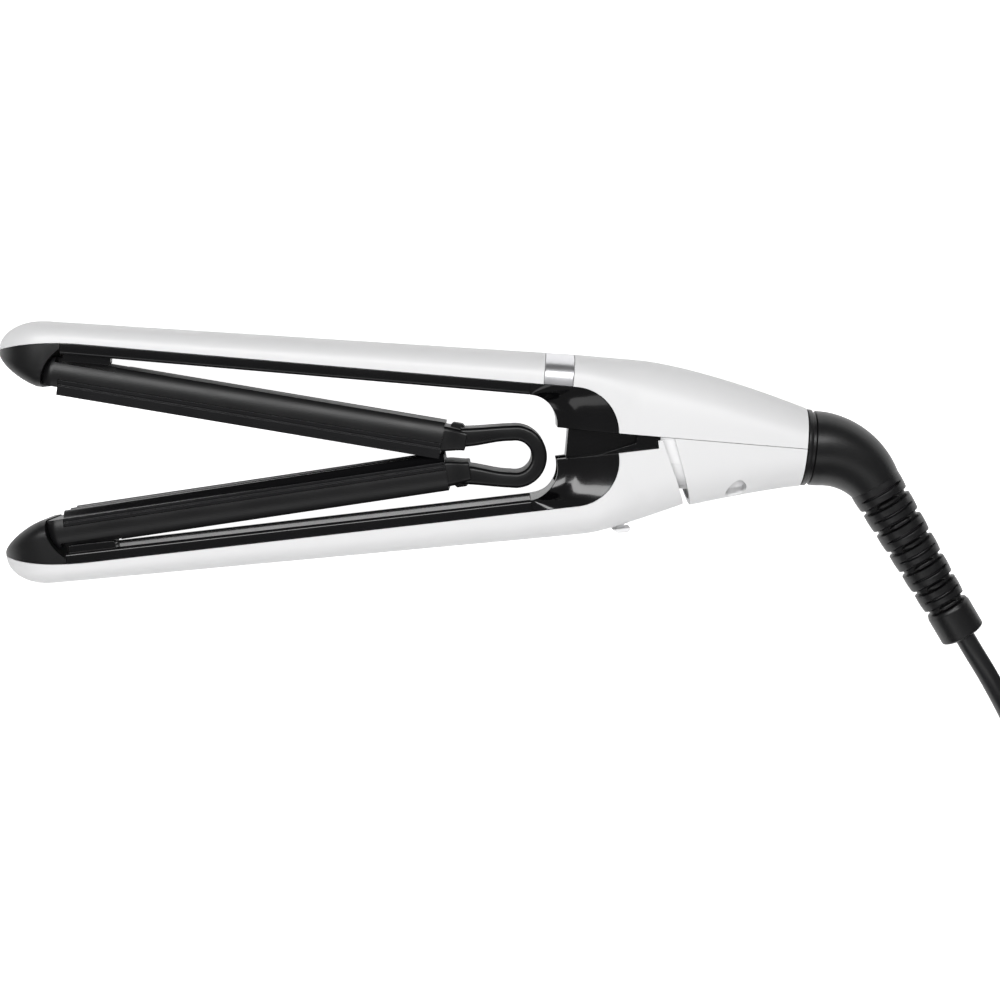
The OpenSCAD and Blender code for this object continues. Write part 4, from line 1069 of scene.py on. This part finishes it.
def catmull(points, steps=3):
    """The same route with points between, on a smooth curve through all of them."""
    out = []
    for i in range(len(points) - 1):
        p = [Vector(points[max(0, min(len(points) - 1, i + k))]) for k in (-1, 0, 1, 2)]
        for s in range(steps):
            t = s / steps
            out.append(0.5 * (2 * p[1] + (p[2] - p[0]) * t + (2 * p[0] - 5 * p[1] + 4 * p[2] - p[3]) * t ** 2
                              + (3 * p[1] - p[0] - 3 * p[2] + p[3]) * t ** 3))
    return out + [Vector(points[-1])]


line = [v * MM for v in catmull(route)]
curve = bpy.data.curves.new("mains_cord", "CURVE")
curve.dimensions = "3D"
curve.bevel_depth = CORD_R * MM
curve.bevel_resolution = 6
curve.use_fill_caps = True
spline = curve.splines.new("POLY")
spline.points.add(len(line) - 1)
for point, at in zip(spline.points, line):
    point.co = (*at, 1)
curve.materials.append(CORD)
mains_cord = bpy.data.objects.new("mains_cord", curve)
bpy.context.scene.collection.objects.link(mains_cord)
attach(mains_cord, "cord_swivel")
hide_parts("cord_lead", "cord_coil", "cord_tail")


# ---------------------------------------------------------------- stage, light and camera
def light_path_white(m, shader, shown, mirrored):
    """Lets a surface look white to the camera, less so in reflections, and still take the object's shadow."""
    nodes, links = m.node_tree.nodes, m.node_tree.links
    path = nodes.new("ShaderNodeLightPath")
    first = nodes.new("ShaderNodeMath")
    first.operation = "MAXIMUM"
    second = nodes.new("ShaderNodeMath")
    second.operation = "MAXIMUM"
    links.new(path.outputs["Is Camera Ray"], first.inputs[0])
    dimmed = nodes.new("ShaderNodeMath")
    dimmed.operation = "MULTIPLY"
    dimmed.inputs[1].default_value = mirrored
    links.new(path.outputs["Is Glossy Ray"], dimmed.inputs[0])
    links.new(dimmed.outputs[0], first.inputs[1])
    links.new(first.outputs[0], second.inputs[0])
    links.new(path.outputs["Is Transmission Ray"], second.inputs[1])
    strength = nodes.new("ShaderNodeMath")
    strength.operation = "MULTIPLY"
    strength.inputs[1].default_value = shown
    links.new(second.outputs[0], strength.inputs[0])
    links.new(strength.outputs[0], shader)


FLOOR = 3.0
corners = [(-FLOOR, -FLOOR, 0), (FLOOR, -FLOOR, 0), (FLOOR, FLOOR, 0), (-FLOOR, FLOOR, 0)]
floor_mesh = bpy.data.meshes.new("floor")
floor_mesh.from_pydata(corners, [], [(0, 1, 2, 3)])
floor = bpy.data.objects.new("floor", floor_mesh)
bpy.context.scene.collection.objects.link(floor)
paper = bpy.data.materials.new("floor_paper")
paper.use_nodes = True
paper_shader = paper.node_tree.nodes["Principled BSDF"]
paper_shader.inputs["Base Color"].default_value = (0.85, 0.85, 0.85, 1)
paper_shader.inputs["Roughness"].default_value = 0.9
paper_shader.inputs["Specular IOR Level"].default_value = 0.0
paper_shader.inputs["Emission Color"].default_value = (1, 1, 1, 1)
light_path_white(paper, paper_shader.inputs["Emission Strength"], 1.0, 0.32)
floor_mesh.materials.append(paper)

world = bpy.data.worlds.new("studio")
bpy.context.scene.world = world
world.use_nodes = True
world.node_tree.nodes["Background"].inputs["Color"].default_value = (1, 1, 1, 1)
world.node_tree.nodes["Background"].inputs["Strength"].default_value = 0.12


def area(name, where, towards, size, power):
    lamp = bpy.data.lights.new(name, "AREA")
    lamp.shape = "RECTANGLE"
    lamp.size, lamp.size_y = size
    lamp.energy = power
    obj = bpy.data.objects.new(name, lamp)
    bpy.context.scene.collection.objects.link(obj)
    obj.location = where
    obj.rotation_euler = (Vector(where) - Vector(towards)).to_track_quat("Z", "Y").to_euler()
    return obj


top = area("top", (0.0, 0.05, 1.3), (0, 0, 0), (1.8, 1.4), 19.5)
top.visible_glossy = False
key = area("key", (-0.1, 0.55, 1.1), (0, 0, 0), (1.8, 0.3), 10)
key.visible_diffuse = False
area("fill", (0.05, -0.62, 1.0), (0, 0, 0), (1.6, 0.35), 1.6)

scene = bpy.context.scene
scene.view_settings.view_transform = "Standard"
LOOK_AT = Vector((0.02827, -0.01644, 0.016))
CAMERA_FAR, CAMERA_RISE, CAMERA_ROLL = 0.610, 4.5, 0.84
rise = math.radians(CAMERA_RISE)
back = Vector((0, math.sin(rise), math.cos(rise)))
flat_up = Vector((0, math.cos(rise), -math.sin(rise)))
roll = math.radians(CAMERA_ROLL)
right = math.cos(roll) * Vector((1, 0, 0)) - math.sin(roll) * flat_up
up = math.sin(roll) * Vector((1, 0, 0)) + math.cos(roll) * flat_up
lens = bpy.data.cameras.new("camera")
lens.lens = 73.2
lens.sensor_width = 36
lens.clip_start = 0.01
camera = bpy.data.objects.new("camera", lens)
scene.collection.objects.link(camera)
facing = Matrix((right, up, back)).transposed().to_4x4()
camera.matrix_world = Matrix.Translation(LOOK_AT + CAMERA_FAR * back) @ facing
scene.camera = camera
